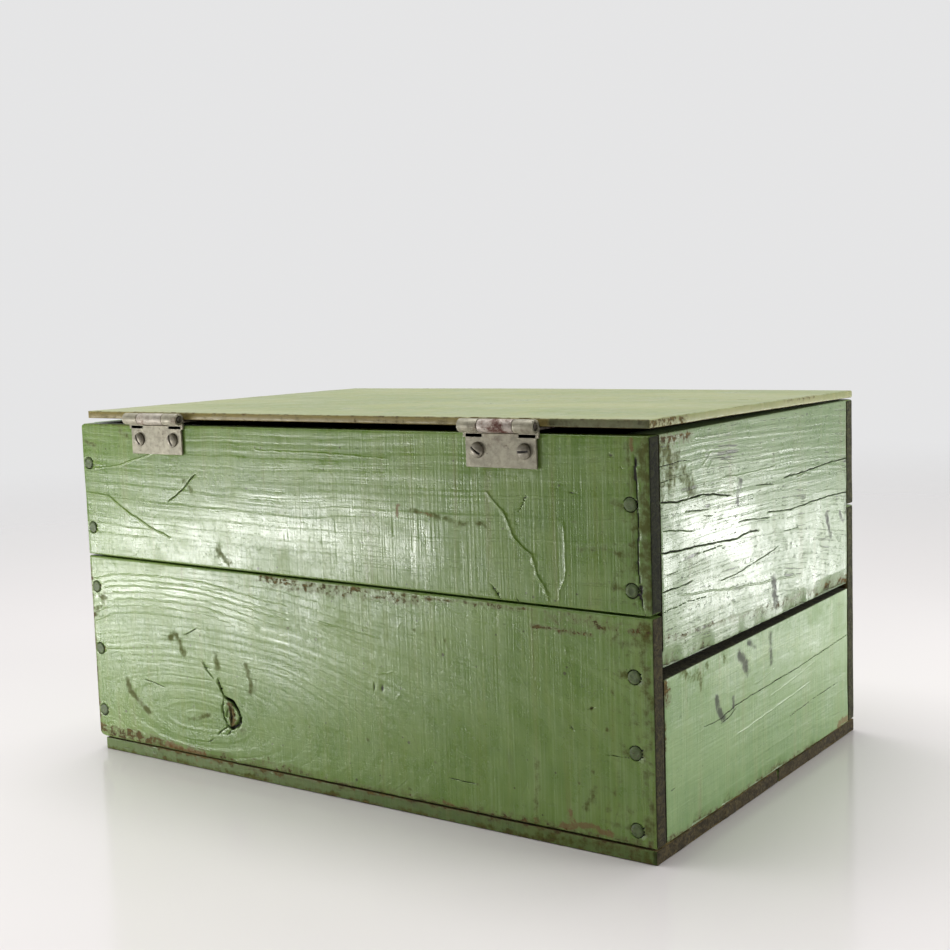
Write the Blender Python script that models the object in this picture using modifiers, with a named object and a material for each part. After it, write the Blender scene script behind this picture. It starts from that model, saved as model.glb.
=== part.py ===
"""A small lidded box of thin painted boards, nailed at the corners.

Each long wall is two boards over the ends of two thick end boards, the bottom is two boards nailed on
from below, and a thin lid turns on two steel butt hinges at the back. A small hasp closes the front.
The frame: X along the box, the front at -Y, the hinges at +Y, Z up, the underside at Z = 0.
"""

import math

import bmesh
import bpy
from mathutils import Euler, Matrix, Vector

# ---------------------------------------------------------------- driving dimensions, in metres
box_length = 0.366  # over the ends of the long boards
box_depth = 0.238  # over the faces of the long boards
body_height = 0.190  # underside to the walls' top edges
long_board = 0.009  # thickness of the front and back boards
end_board = 0.017  # thickness of the end boards
bottom_board = 0.007
lid_board = 0.0042
gap = 0.0003  # between pieces that touch

back_lower_left = 0.1035  # width of the lower back board at its left end, and at its right end
back_lower_right = 0.1067
back_seam = 0.0005
front_lower = 0.1235
front_seam = 0.0006
left_lower_back = 0.0746  # width of the lower left end board at the back, and at the front
left_lower_front = 0.0770
left_upper_from = 0.0868  # height of the upper left end board's lower edge
right_lower = 0.0800
right_seam = 0.0010
bottom_inset_right = 0.005  # the bottom boards stop short of the right end
bottom_wide = 0.131  # width of the bottom board under the hinges
bottom_seam = 0.0008

nail_head_radius = 0.0031
nail_head = 0.0010
nail_shank_radius = 0.0012
nail_length = 0.024
nail_tip = 0.003
nail_sunk = 0.0007  # how deep a wall nail's head sits in the wood
bottom_nail_sunk = 0.0012
nail_inset_left = 0.0100  # from the box's left end to the nails of the long walls
nail_inset_right = 0.0052
bottom_nail_inset = 0.007  # from the ends of the bottom boards
bottom_nail_edge = 0.045  # from the long faces

leaf = 0.0012  # thickness of a hinge leaf
hinge_width = 0.039
hinge_leaf_drop = 0.0158  # height of the leaf on the back wall
hinge_leaf_reach = 0.0150  # depth of the leaf under the lid
knuckle_radius = 0.0032
knuckle_tuck = 0.0001  # how far the leaf's face lies inside the knuckle's outline
knuckle_overhang = 0.00125  # the knuckles reach past the leaves
middle_knuckle = 0.0190
knuckle_gap = 0.0004
pin_radius = 0.0013
pin_clearance = 0.0001
tack_over_wall = 0.0005  # between the tack heads and the back wall's top edge
lid_leaf_under_pin = 0.0009  # pin axis to the top face of the leaf under the lid
hinge_right_at = 0.1194
hinge_left_at = -0.1073
hinge_screw_pitch = 0.0258
lid_back_inset = 0.0005
lid_inset_right = 0.005

screw_head_radius = 0.0038
screw_head = 0.0022
screw_shank_radius = 0.0015
wood_past_screw = 0.0022  # left in a long board beyond the screw's point
screw_tip = 0.002
screw_slot = 0.0009
screw_slot_depth = 0.0009

tack_head_radius = 0.0026
tack_head = 0.0005
tack_shank_radius = 0.0011

hasp_at = -0.011
hasp_leaf = 0.0008  # thickness of the leaf under the lid
hasp_leaf_width = 0.038
hasp_leaf_reach = 0.0185
hasp_tack_pitch = 0.0290
hasp_tack_clear = 0.0015  # the tack heads pass this far behind the front wall
hasp_strap = 0.0012
hasp_strap_width = 0.0168
strap_end = 0.0063  # of strap below its slot
hasp_knuckle_radius = 0.0022
hasp_knuckle_gap = 0.0004
hasp_pin_radius = 0.0008
hasp_pin_clearance = 0.00008
strap_stand_off = 0.0011  # pin axis ahead of the staple's plate
hasp_pin_over_leaf = 0.0001
slot_below_pin = 0.0262
slot_end_clearance = 0.0017  # around the staple
slot_side_clearance = 0.0019
staple_wire_radius = 0.0013
staple_loop_radius = 0.0065  # of the wire's centre line
staple_loop_ahead = 0.0065  # the loop's centre ahead of the front face
staple_root = 0.006  # depth of the staple's legs in the front wall
staple_plate = 0.0012
staple_plate_margin = 0.0032  # of plate above and below the staple
staple_screw_clear = 0.0010  # between the strap and the heads of the staple's screws
staple_plate_edge = 0.0008  # of plate outside the screw heads

nail_sides = 8
screw_sides = 12
tube_sides = 16

# Where the nails sit across each board, as shares of its width, for the left and the right end
back_upper_nails = {"left": (0.14, 0.62), "right": (0.21, 0.70)}
back_lower_nails = {"left": (0.07, 0.41, 0.74), "right": (0.15, 0.49, 0.83)}
front_upper_nails = {"left": (0.26, 0.74), "right": (0.24, 0.76)}
front_lower_nails = {"left": (0.12, 0.47, 0.86), "right": (0.13, 0.52, 0.85)}

# ---------------------------------------------------------------- places worked out from them
half_length = box_length / 2
screw_length = gap + leaf + gap + long_board - wood_past_screw
knuckle_axis_out = gap + knuckle_radius - knuckle_tuck
back_reach = knuckle_axis_out + knuckle_radius
front_reach = staple_loop_ahead + staple_loop_radius + staple_wire_radius
front_y = -(box_depth + back_reach + front_reach) / 2 + front_reach
back_y = front_y + box_depth
wall_foot = bottom_board + gap
pin_y = back_y + knuckle_axis_out
pin_z = body_height + tack_over_wall + tack_head + gap + leaf + lid_leaf_under_pin
lid_under_back = pin_z - lid_leaf_under_pin + gap
lid_under_front = body_height + gap + hasp_leaf + gap
hasp_pin_y = front_y - gap - staple_plate - strap_stand_off
hasp_pin_z = body_height + gap + hasp_leaf + hasp_pin_over_leaf
slot_length = 2 * (staple_loop_radius + staple_wire_radius + slot_end_clearance)
slot_width = 2 * (staple_wire_radius + slot_side_clearance)
hasp_strap_length = slot_below_pin + slot_length / 2 + strap_end
staple_z = hasp_pin_z - slot_below_pin
staple_screw_out = hasp_strap_width / 2 + staple_screw_clear + screw_head_radius

to_drill = []

FACING = {  # turns a piece's own +Z to this side of the box, with its +Y up or, lying flat, to the back
    "back": Euler((math.radians(90), 0, math.radians(180))),
    "front": Euler((math.radians(90), 0, 0)),
    "left": Euler((math.radians(90), 0, math.radians(-90))),
    "down": Euler((math.radians(180), 0, 0)),
}


# ---------------------------------------------------------------- scene, collections and materials
for old in list(bpy.data.objects):
    bpy.data.objects.remove(old, do_unlink=True)

parts = bpy.data.collections.new("lidded_board_box")
bores = bpy.data.collections.new("bores")
shapers = bpy.data.collections.new("shapers")
for made in (parts, bores, shapers):
    bpy.context.scene.collection.children.link(made)


def finish_of(name, colour, roughness, metallic):
    """A plain Principled material."""
    made = bpy.data.materials.new(name)
    made.use_nodes = True
    shader = made.node_tree.nodes["Principled BSDF"]
    shader.inputs["Base Color"].default_value = (*colour, 1)
    shader.inputs["Roughness"].default_value = roughness
    shader.inputs["Metallic"].default_value = metallic
    return made


green_paint = finish_of("green_painted_board", (0.20, 0.34, 0.13), 0.42, 0.0)
lid_paint = finish_of("faded_lid_board", (0.43, 0.47, 0.24), 0.45, 0.0)
bare_wood = finish_of("bare_board", (0.17, 0.12, 0.06), 0.80, 0.0)
pale_steel = finish_of("pale_painted_steel", (0.40, 0.38, 0.33), 0.50, 0.4)
dark_steel = finish_of("dark_steel", (0.12, 0.10, 0.08), 0.55, 0.7)
painted_nail = finish_of("painted_nail", (0.15, 0.24, 0.10), 0.50, 0.2)


# ---------------------------------------------------------------- ways of making shapes
def put(name, mesh, place, turn, finish=None, collection=parts):
    """An object of this mesh. With no finish it is a cutter or a guide, and only its wires show."""
    made = bpy.data.objects.new(name, mesh)
    made.location = place
    made.rotation_euler = turn
    collection.objects.link(made)
    if finish is None:
        made.hide_render = True
        made.display_type = "WIRE"
    else:
        made.data.materials.clear()
        made.data.materials.append(finish)
    return made


def evaluated_mesh(obj):
    """The object's shape with its modifiers, as a welded mesh facing outwards. The object is removed."""
    bpy.context.view_layer.update()
    graph = bpy.context.evaluated_depsgraph_get()
    mesh = bpy.data.meshes.new_from_object(obj.evaluated_get(graph))
    bpy.data.objects.remove(obj, do_unlink=True)
    welded = bmesh.new()
    welded.from_mesh(mesh)
    bmesh.ops.remove_doubles(welded, verts=welded.verts, dist=1e-6)
    bmesh.ops.recalc_face_normals(welded, faces=welded.faces)
    welded.to_mesh(mesh)
    welded.free()
    return mesh


def slab(outlines, thickness):
    """A mesh of flat outlines in X and Y, the first one solid and the others holes, centred on Z = 0."""
    curve = bpy.data.curves.new("outline", "CURVE")
    curve.dimensions = "2D"
    curve.fill_mode = "BOTH"
    curve.extrude = thickness / 2
    for outline in outlines:
        line = curve.splines.new("POLY")
        line.points.add(len(outline) - 1)
        line.use_cyclic_u = True
        for point, (x, y) in zip(line.points, outline):
            point.co = (x, y, 0, 1)
    holder = bpy.data.objects.new("outline", curve)
    shapers.objects.link(holder)
    return evaluated_mesh(holder)


def turned(profile, sides):
    """A mesh turned about Z from (radius, height) points that run down the outside, top to bottom."""
    mesh = bpy.data.meshes.new("profile")
    points = [(radius, 0, height) for radius, height in profile]
    mesh.from_pydata(points, [(i, i + 1) for i in range(len(points) - 1)], [])
    holder = bpy.data.objects.new("profile", mesh)
    shapers.objects.link(holder)
    screw = holder.modifiers.new("turn", "SCREW")
    screw.steps = sides
    screw.render_steps = sides
    screw.use_merge_vertices = True
    screw.merge_threshold = 1e-6
    return evaluated_mesh(holder)


def rod(radius, length, sides):
    """A plain cylinder about Z, centred."""
    half = length / 2
    return turned([(0, half), (radius, half), (radius, -half), (0, -half)], sides)


def box_outline(left, low, right, high):
    return [(left, low), (right, low), (right, high), (left, high)]


def arc(centre, radius, first, last, steps):
    """Points of an arc, angles in degrees."""
    angles = [math.radians(first + (last - first) * i / steps) for i in range(steps + 1)]
    return [(centre[0] + radius * math.cos(a), centre[1] + radius * math.sin(a)) for a in angles]


def change(obj, operation, operand):
    """A Boolean of this piece with another object."""
    boolean = obj.modifiers.new(operation.lower(), "BOOLEAN")
    boolean.operation = operation
    boolean.solver = "EXACT"
    boolean.object = operand


def drilled(obj):
    """Marks a piece that the fasteners' bores go through. The bores are cut once all are in place."""
    to_drill.append(obj)
    return obj


def hold(piece, holder):
    """Parents a piece to an axis empty, which is never turned, without moving it."""
    piece.parent = holder
    piece.matrix_parent_inverse = Matrix.Translation(-holder.location)


def axis_empty(name, place):
    made = bpy.data.objects.new(name, None)
    made.location = place
    parts.objects.link(made)
    return made


lid_axis = axis_empty("lid_axis", (0, pin_y, pin_z))
hasp_axis = axis_empty("hasp_axis", (hasp_at, hasp_pin_y, hasp_pin_z))
hold(hasp_axis, lid_axis)


# ---------------------------------------------------------------- nails, screws and tacks
def pointed(head_radius, head, shank_radius, length, tip):
    """A flat-headed nail: its head's top face is at Z = 0 and its point is down."""
    return [
        (0, 0),
        (head_radius, 0),
        (head_radius, -head),
        (shank_radius, -head),
        (shank_radius, tip - length),
        (0, -length),
    ]


nail_mesh = turned(
    pointed(nail_head_radius, nail_head, nail_shank_radius, nail_length, nail_tip), nail_sides
)
nail_bore_mesh = turned(
    pointed(
        nail_head_radius + gap,
        nail_head + gap + gap,
        nail_shank_radius + gap,
        nail_length + gap + gap,
        gap,
    ),
    nail_sides,
)


def nail(name, x, y, z, side, sunk):
    """A nail driven in from this side of the box, with its bore."""
    outward = Vector((0, 0, 1))
    outward.rotate(FACING[side])
    head_top = Vector((x, y, z)) + outward * (nail_head - sunk)
    put("bore_" + name, nail_bore_mesh, head_top + outward * gap, FACING[side], collection=bores)
    return put(name, nail_mesh.copy(), head_top, FACING[side], painted_nail)


def screw_shape():
    """A round-headed slotted screw whose head's underside is at Z = 0."""
    dome = [
        (screw_head_radius * math.cos(a), screw_head * (0.25 + 0.75 * math.sin(a)))
        for a in (math.radians(60), math.radians(30), 0)
    ]
    profile = [(0, screw_head), *dome, (screw_head_radius, 0), (screw_shank_radius, 0)]
    profile += [(screw_shank_radius, screw_tip - screw_length), (0, -screw_length)]
    body = put("screw_body", turned(profile, screw_sides), (0, 0, 0), (0, 0, 0), collection=shapers)
    across = screw_head_radius + gap
    slot = slab([box_outline(-across, -screw_slot / 2, across, screw_slot / 2)], screw_slot_depth * 2)
    cutter = put("screw_slot", slot, (0, 0, screw_head), (0, 0, 0), collection=shapers)
    change(body, "DIFFERENCE", cutter)
    mesh = evaluated_mesh(body)
    bpy.data.objects.remove(cutter, do_unlink=True)
    return mesh


screw_mesh = screw_shape()
screw_bore_mesh = turned(
    [
        (0, 0),
        (screw_shank_radius + gap, 0),
        (screw_shank_radius + gap, -screw_length - gap),
        (0, -screw_length - gap),
    ],
    screw_sides,
)


def screw(name, x, y, z, side, roll):
    """A round-headed screw over a plate's face at this point, with its bore. roll turns its slot."""
    outward = Vector((0, 0, 1))
    outward.rotate(FACING[side])
    seat = Vector((x, y, z)) + outward * gap
    turn = (FACING[side].to_matrix() @ Matrix.Rotation(math.radians(roll), 3, "Z")).to_euler()
    put("bore_" + name, screw_bore_mesh, seat, FACING[side], collection=bores)
    return put(name, screw_mesh.copy(), seat, turn, pale_steel)


def tack(name, x, y, z, length):
    """A flat tack driven up through a leaf, whose underside is at Z = z, into the lid."""
    seat = (x, y, z - gap - tack_head)
    profile = pointed(tack_head_radius, tack_head, tack_shank_radius, length, tack_shank_radius)
    radius = tack_shank_radius + gap
    bore = [(0, 0), (radius, 0), (radius, -length - gap), (0, -length - gap)]
    put("bore_" + name, turned(bore, nail_sides), seat, FACING["down"], collection=bores)
    made = put(name, turned(profile, nail_sides), seat, FACING["down"], pale_steel)
    hold(made, lid_axis)
    return made


# ---------------------------------------------------------------- walls and bottom
def long_wall_board(name, side, lower, upper):
    """A board of a long wall. lower and upper are its edges' heights at the left and the right end."""
    outline = [
        (-half_length, lower[0]),
        (half_length, lower[1]),
        (half_length, upper[1]),
        (-half_length, upper[0]),
    ]
    if side == "back":
        outline = [(-x, z) for x, z in reversed(outline)]
    face = back_y - long_board / 2 if side == "back" else front_y + long_board / 2
    made = put(name, slab([outline], long_board), (0, face, 0), FACING[side], green_paint)
    return drilled(made)


back_seam_left = wall_foot + back_lower_left
back_seam_right = wall_foot + back_lower_right
foot = (wall_foot, wall_foot)
brim = (body_height, body_height)
back_split = (back_seam_left, back_seam_right)
back_split_top = (back_seam_left + back_seam, back_seam_right + back_seam)
front_split = (wall_foot + front_lower, wall_foot + front_lower)
front_split_top = tuple(height + front_seam for height in front_split)
long_wall_board("back_board_lower", "back", foot, back_split)
long_wall_board("back_board_upper", "back", back_split_top, brim)
long_wall_board("front_board_lower", "front", foot, front_split)
long_wall_board("front_board_upper", "front", front_split_top, brim)


def end_wall_board(name, side, lower, upper):
    """An end board between the long walls. lower and upper are its edges' heights at front and back."""
    front = front_y + long_board + gap
    back = back_y - long_board - gap
    outline = [(-front, lower[0]), (-front, upper[0]), (-back, upper[1]), (-back, lower[1])]
    offset = half_length - end_board / 2
    centre = -offset if side == "left" else offset
    made = put(name, slab([outline], end_board), (centre, 0, 0), FACING["left"], green_paint)
    return drilled(made)


left_split = (wall_foot + left_lower_front, wall_foot + left_lower_back)
right_split = (wall_foot + right_lower, wall_foot + right_lower)
end_wall_board("left_end_lower", "left", foot, left_split)
end_wall_board("left_end_upper", "left", (left_upper_from, left_upper_from), brim)
end_wall_board("right_end_lower", "right", foot, right_split)
end_wall_board("right_end_upper", "right", tuple(z + right_seam for z in right_split), brim)

bottom_left = -half_length
bottom_right = half_length - bottom_inset_right
bottom_split = back_y - bottom_wide
for name, low, high in (
    ("bottom_board_back", bottom_split, back_y),
    ("bottom_board_front", front_y, bottom_split - bottom_seam),
):
    outline = box_outline(bottom_left, low, bottom_right, high)
    board = put(name, slab([outline], bottom_board), (0, 0, bottom_board / 2), (0, 0, 0), bare_wood)
    drilled(board)

nail_x = {"left": nail_inset_left - half_length, "right": half_length - nail_inset_right}
for end in ("left", "right"):
    at_end = 0 if end == "left" else 1
    for side, row, lower, upper, shares in (
        ("back", "upper", back_split_top, brim, back_upper_nails),
        ("back", "lower", foot, back_split, back_lower_nails),
        ("front", "upper", front_split_top, brim, front_upper_nails),
        ("front", "lower", foot, front_split, front_lower_nails),
    ):
        face = back_y if side == "back" else front_y
        for number, share in enumerate(shares[end], start=1):
            height = lower[at_end] + share * (upper[at_end] - lower[at_end])
            nail(f"nail_{side}_{row}_{end}_{number}", nail_x[end], face, height, side, nail_sunk)

bottom_nail_x = {"left": bottom_left + bottom_nail_inset, "right": bottom_right - bottom_nail_inset}
for end, x in bottom_nail_x.items():
    for side, y in (("back", back_y - bottom_nail_edge), ("front", front_y + bottom_nail_edge)):
        nail(f"nail_bottom_{side}_{end}", x, y, 0, "down", bottom_nail_sunk)


# ---------------------------------------------------------------- lid
lid_run = box_depth - lid_back_inset
lid_fall = lid_under_back - lid_under_front
lid_slope = math.atan2(lid_fall, lid_run)
lid_outline = box_outline(-half_length, -lid_run, half_length - lid_inset_right, 0)
lid_turn = Euler((lid_slope, 0, 0))
lid_foot = Vector((0, back_y - lid_back_inset, lid_under_back))
lid_lift = Vector((0, 0, lid_board / 2))
lid_lift.rotate(lid_turn)
lid = put("lid_panel", slab([lid_outline], lid_board), lid_foot + lid_lift, lid_turn, lid_paint)
drilled(lid)
hold(lid, lid_axis)


# ---------------------------------------------------------------- hinges
def knuckle(name, x, y, z, length, outer, bore):
    """A tube along X, as a guide that is joined to a leaf."""
    half = length / 2
    profile = [(outer, half), (outer, -half), (bore, -half), (bore, half), (outer, half)]
    across = Euler((0, math.radians(90), 0))
    return put(name, turned(profile, tube_sides), (x, y, z), across, collection=shapers)


def knuckle_spans(width, middle, between):
    """(centre, length) of the left, middle and right knuckle of a hinge."""
    outer = (width - middle) / 2 - between
    offset = (width - outer) / 2
    return (-offset, outer), (0, middle), (offset, outer)


hinge_spans = knuckle_spans(hinge_width + 2 * knuckle_overhang, middle_knuckle, knuckle_gap)
hinge_bore = pin_radius + pin_clearance
screw_z = pin_z - knuckle_radius - knuckle_gap - hinge_leaf_drop / 2
screw_rolls = {"left": (12, -48), "right": (-72, -66)}


def hinge(end, x):
    """A butt hinge: one leaf on the back wall, one under the lid, and the pin."""
    half = hinge_width / 2
    under_knuckle = pin_z - knuckle_radius - knuckle_gap
    bottom = under_knuckle - hinge_leaf_drop
    inner = hinge_spans[1][1] / 2 + knuckle_gap
    tab_top = pin_z + knuckle_gap
    outline = [
        (-half, bottom),
        (half, bottom),
        (half, tab_top),
        (inner, tab_top),
        (inner, under_knuckle),
        (-inner, under_knuckle),
        (-inner, tab_top),
        (-half, tab_top),
    ]
    back_leaf = put(
        end + "_hinge_back_leaf",
        slab([outline], leaf),
        (x, back_y + gap + leaf / 2, 0),
        FACING["back"],
        pale_steel,
    )
    for number in (0, 2):
        centre, length = hinge_spans[number]
        name = f"{end}_back_knuckle_{number}"
        tube = knuckle(name, x + centre, pin_y, pin_z, length, knuckle_radius, hinge_bore)
        change(back_leaf, "UNION", tube)
    drilled(back_leaf)

    edge = back_y - knuckle_gap
    tab_half = hinge_spans[1][1] / 2
    tab_end = pin_y - (knuckle_radius + hinge_bore) / 2 + knuckle_gap
    outline = [
        (-half, back_y - hinge_leaf_reach),
        (half, back_y - hinge_leaf_reach),
        (half, edge),
        (tab_half, edge),
        (tab_half, tab_end),
        (-tab_half, tab_end),
        (-tab_half, edge),
        (-half, edge),
    ]
    height = pin_z - lid_leaf_under_pin - leaf / 2
    lid_leaf = put(end + "_hinge_lid_leaf", slab([outline], leaf), (x, 0, height), (0, 0, 0), pale_steel)
    tube = knuckle(end + "_lid_knuckle", x, pin_y, pin_z, hinge_spans[1][1], knuckle_radius, hinge_bore)
    change(lid_leaf, "UNION", tube)
    drilled(lid_leaf)
    hold(lid_leaf, lid_axis)

    pin = rod(pin_radius, hinge_width + 2 * knuckle_overhang, tube_sides)
    across = Euler((0, math.radians(90), 0))
    put(end + "_hinge_pin", pin, (x, pin_y, pin_z), across, dark_steel)

    tack_y = back_y - hinge_leaf_reach / 2
    tack_length = tack_head + gap + leaf + gap + lid_board * 0.75
    for number, (sign, roll) in enumerate(zip((1, -1), screw_rolls[end]), start=1):
        at = x + sign * hinge_screw_pitch / 2
        screw(f"{end}_hinge_screw_{number}", at, back_y + gap + leaf, screw_z, "back", roll)
        tack(f"{end}_hinge_tack_{number}", at, tack_y, height - leaf / 2, tack_length)


hinge("right", hinge_right_at)
hinge("left", hinge_left_at)

# ---------------------------------------------------------------- hasp and staple
hasp_bore = hasp_pin_radius + hasp_pin_clearance
hasp_spans = knuckle_spans(hasp_leaf_width, hasp_strap_width, hasp_knuckle_gap)
leaf_under = lid_under_front - gap - hasp_leaf
front_edge = front_y - gap / 2
leaf_back = front_y + hasp_leaf_reach
tab_end = hasp_pin_y + (hasp_knuckle_radius + hasp_bore) / 2
half = hasp_leaf_width / 2
inner = hasp_strap_width / 2 + hasp_knuckle_gap
outline = [
    (-half, tab_end),
    (-inner, tab_end),
    (-inner, front_edge),
    (inner, front_edge),
    (inner, tab_end),
    (half, tab_end),
    (half, leaf_back),
    (-half, leaf_back),
]
hasp_plate = put(
    "hasp_lid_leaf",
    slab([outline], hasp_leaf),
    (hasp_at, 0, leaf_under + hasp_leaf / 2),
    (0, 0, 0),
    pale_steel,
)
for number in (0, 2):
    centre, length = hasp_spans[number]
    place = (hasp_at + centre, hasp_pin_y, hasp_pin_z)
    tube = knuckle(f"hasp_knuckle_{number}", *place, length, hasp_knuckle_radius, hasp_bore)
    change(hasp_plate, "UNION", tube)
drilled(hasp_plate)
hold(hasp_plate, lid_axis)

hasp_pin = rod(hasp_pin_radius, hasp_leaf_width, tube_sides)
across = Euler((0, math.radians(90), 0))
pin_piece = put("hasp_pin", hasp_pin, (hasp_at, hasp_pin_y, hasp_pin_z), across, dark_steel)
hold(pin_piece, lid_axis)

tack_length = tack_head + gap + hasp_leaf + gap + lid_board * 0.75
tack_y = front_y + long_board + hasp_tack_clear + tack_head_radius
for number, sign in enumerate((-1, 1), start=1):
    at = hasp_at + sign * hasp_tack_pitch / 2
    tack(f"hasp_tack_{number}", at, tack_y, leaf_under, tack_length)

strap_half = hasp_strap_width / 2
strap_top = -(hasp_knuckle_radius + hasp_bore) / 2
end_arc = arc((0, -(hasp_strap_length - strap_half)), strap_half, 180, 360, 10)
strap_outline = [(strap_half, strap_top), (-strap_half, strap_top), *end_arc]
slot_half = slot_width / 2
slot_reach = slot_length / 2 - slot_half
slot_outline = arc((0, slot_reach - slot_below_pin), slot_half, 0, 180, 6)
slot_outline += arc((0, -slot_reach - slot_below_pin), slot_half, 180, 360, 6)
strap_y = hasp_pin_y - (hasp_strap / 2 - gap)
strap = put(
    "hasp_strap",
    slab([strap_outline, slot_outline], hasp_strap),
    (hasp_at, strap_y, hasp_pin_z),
    FACING["front"],
    pale_steel,
)
place = (hasp_at, hasp_pin_y, hasp_pin_z)
tube = knuckle("strap_knuckle", *place, hasp_strap_width, hasp_knuckle_radius, hasp_bore)
change(strap, "UNION", tube)
hold(strap, hasp_axis)

half_width = staple_screw_out + screw_head_radius + staple_plate_edge
half_height = staple_loop_radius + staple_wire_radius + staple_plate_margin
staple_base = put(
    "staple_plate",
    slab([box_outline(-half_width, -half_height, half_width, half_height)], staple_plate),
    (hasp_at, front_y - gap - staple_plate / 2, staple_z),
    FACING["front"],
    pale_steel,
)
drilled(staple_base)


def staple_wire(name, radius, root):
    """The staple's bent wire, as a mesh: two legs through the plate and a half circle between them."""
    centre = (-staple_loop_ahead, 0)
    bend = arc(centre, staple_loop_radius, 90, 270, 10)
    route = [(root, staple_loop_radius), *bend, (root, -staple_loop_radius)]
    curve = bpy.data.curves.new(name, "CURVE")
    curve.dimensions = "3D"
    curve.bevel_depth = radius
    curve.bevel_resolution = 2
    curve.use_fill_caps = True
    line = curve.splines.new("POLY")
    line.points.add(len(route) - 1)
    for point, (y, z) in zip(line.points, route):
        point.co = (0, y, z, 1)
    holder = bpy.data.objects.new(name, curve)
    shapers.objects.link(holder)
    return evaluated_mesh(holder)


staple_place = (hasp_at, front_y, staple_z)
staple_mesh = staple_wire("staple", staple_wire_radius, staple_root)
put("staple_loop", staple_mesh, staple_place, (0, 0, 0), pale_steel)
leg_radius = staple_wire_radius + gap
leg_length = 2 * (staple_root + gap)
for sign in (-1, 1):
    place = (hasp_at, front_y, staple_z + sign * staple_loop_radius)
    bore = rod(leg_radius, leg_length, nail_sides)
    put(f"bore_staple_{sign}", bore, place, FACING["front"], collection=bores)

for number, (sign, roll) in enumerate(((-1, 20), (1, -35)), start=1):
    at = hasp_at + sign * staple_screw_out
    screw(f"staple_screw_{number}", at, front_y - gap - staple_plate, staple_z, "front", roll)

# ---------------------------------------------------------------- bores and shading
for piece in to_drill:
    drilling = piece.modifiers.new("bores", "BOOLEAN")
    drilling.operation = "DIFFERENCE"
    drilling.solver = "EXACT"
    drilling.operand_type = "COLLECTION"
    drilling.collection = bores

for piece in parts.objects:
    if piece.type == "MESH":
        piece.data.shade_smooth()
        piece.data.set_sharp_from_angle(angle=math.radians(35))
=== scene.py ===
import math

import bmesh
import bpy
from mathutils import Euler, Matrix, Vector, noise


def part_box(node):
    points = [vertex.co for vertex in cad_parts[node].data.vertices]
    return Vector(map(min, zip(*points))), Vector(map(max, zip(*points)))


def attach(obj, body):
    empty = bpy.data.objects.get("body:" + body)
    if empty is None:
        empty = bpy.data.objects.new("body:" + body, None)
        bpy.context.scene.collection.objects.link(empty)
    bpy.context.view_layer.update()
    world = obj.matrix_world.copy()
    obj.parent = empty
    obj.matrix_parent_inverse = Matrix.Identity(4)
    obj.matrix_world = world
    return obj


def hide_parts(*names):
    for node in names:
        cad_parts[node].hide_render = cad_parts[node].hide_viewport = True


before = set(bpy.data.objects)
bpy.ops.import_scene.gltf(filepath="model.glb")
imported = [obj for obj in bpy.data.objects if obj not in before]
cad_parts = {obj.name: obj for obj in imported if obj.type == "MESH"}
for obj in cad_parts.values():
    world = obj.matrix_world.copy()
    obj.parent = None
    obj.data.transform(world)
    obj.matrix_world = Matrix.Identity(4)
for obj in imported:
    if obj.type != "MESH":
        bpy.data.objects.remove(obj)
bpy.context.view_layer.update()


# ---------------------------------------------------------------- bottom boards
# Two thin sawn boards nailed up under the walls. Their undersides are bare and dirty, their long
# edges took the green paint, and their ends show dark, ragged end grain.

mm = 0.001

# the six sides of a board: the axis each looks along, and which way
left, right = ("x", -1), ("x", 1)
front, back = ("y", -1), ("y", 1)
under, top = ("z", -1), ("z", 1)

# what the finish varies with from place to place, each from 0 to about 1; the layers of
# cracks, grime and end grain also carry painted shade, and the chalk layer painted sheen and
# painted highlights
finish_layers = ("end_grain", "bare", "crack_and_shade", "grime_and_shade", "chalk_and_sheen", "scuff", "rust", "rim")


def corner_of(node, signs):
    """The corner of a board's CAD block that lies furthest towards signs."""
    low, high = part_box(node)
    size = high - low

    def reach(vertex):
        return sum(signs[i] * vertex.co[i] / size[i] for i in range(3))

    return max(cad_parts[node].data.vertices, key=reach).co.copy()


def weather(board, depth, seed, grain):
    """Wears the whole board in and out a little, more across its grain than along it."""
    stretch = Vector([9 if i == grain else 45 for i in range(3)])
    for v in board.verts:
        p = Vector([v.co[i] * stretch[i] for i in range(3)]) + Vector((seed, seed, seed))
        v.co -= v.normal * depth * (0.5 + 0.5 * noise.noise(p))


def sawn_board(node, cuts, easing, seed, grain, wear=0.4 * mm):
    """A weathered block on the node's own corners, its edges eased, cut this many times along X,
    Y and Z. grain is the number of the axis that its grain follows."""
    board = bmesh.new()
    bmesh.ops.create_cube(board, size=1)
    for v in board.verts:
        v.co = corner_of(node, [math.copysign(1, c) for c in v.co])
    bmesh.ops.bevel(board, geom=board.edges[:], offset=easing, segments=3, profile=0.5,
                    affect="EDGES", material=-1)
    for axis, count in enumerate(cuts):
        lengthwise = []
        for e in board.edges:
            run = e.verts[1].co - e.verts[0].co
            if abs(run[axis]) > 4 * easing and abs(run[axis]) > 0.9 * run.length:
                lengthwise.append(e)
        bmesh.ops.subdivide_edges(board, edges=lengthwise, cuts=count, use_grid_fill=True)
    board.normal_update()
    for name in finish_layers:
        board.verts.layers.float.new(name)
    weather(board, wear, seed, grain)
    return board


def facing(vertex, side):
    """How squarely a vertex looks out of a side, such as ("y", 1)."""
    return vertex.normal["xyz".index(side[0])] * side[1]


def flat(point, side):
    """The two coordinates of a point that lie in the plane of a side."""
    axis = "xyz".index(side[0])
    return Vector([point[i] for i in range(3) if i != axis])


square = 6 * mm


def in_squares(board, side):
    """The vertices of a side, sorted into small squares so that a mark finds its own quickly."""
    squares = {}
    for v in board.verts:
        if facing(v, side) > 0.5:
            p = flat(v.co, side)
            squares.setdefault((int(p.x // square), int(p.y // square)), []).append((v, p))
    return squares


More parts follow.
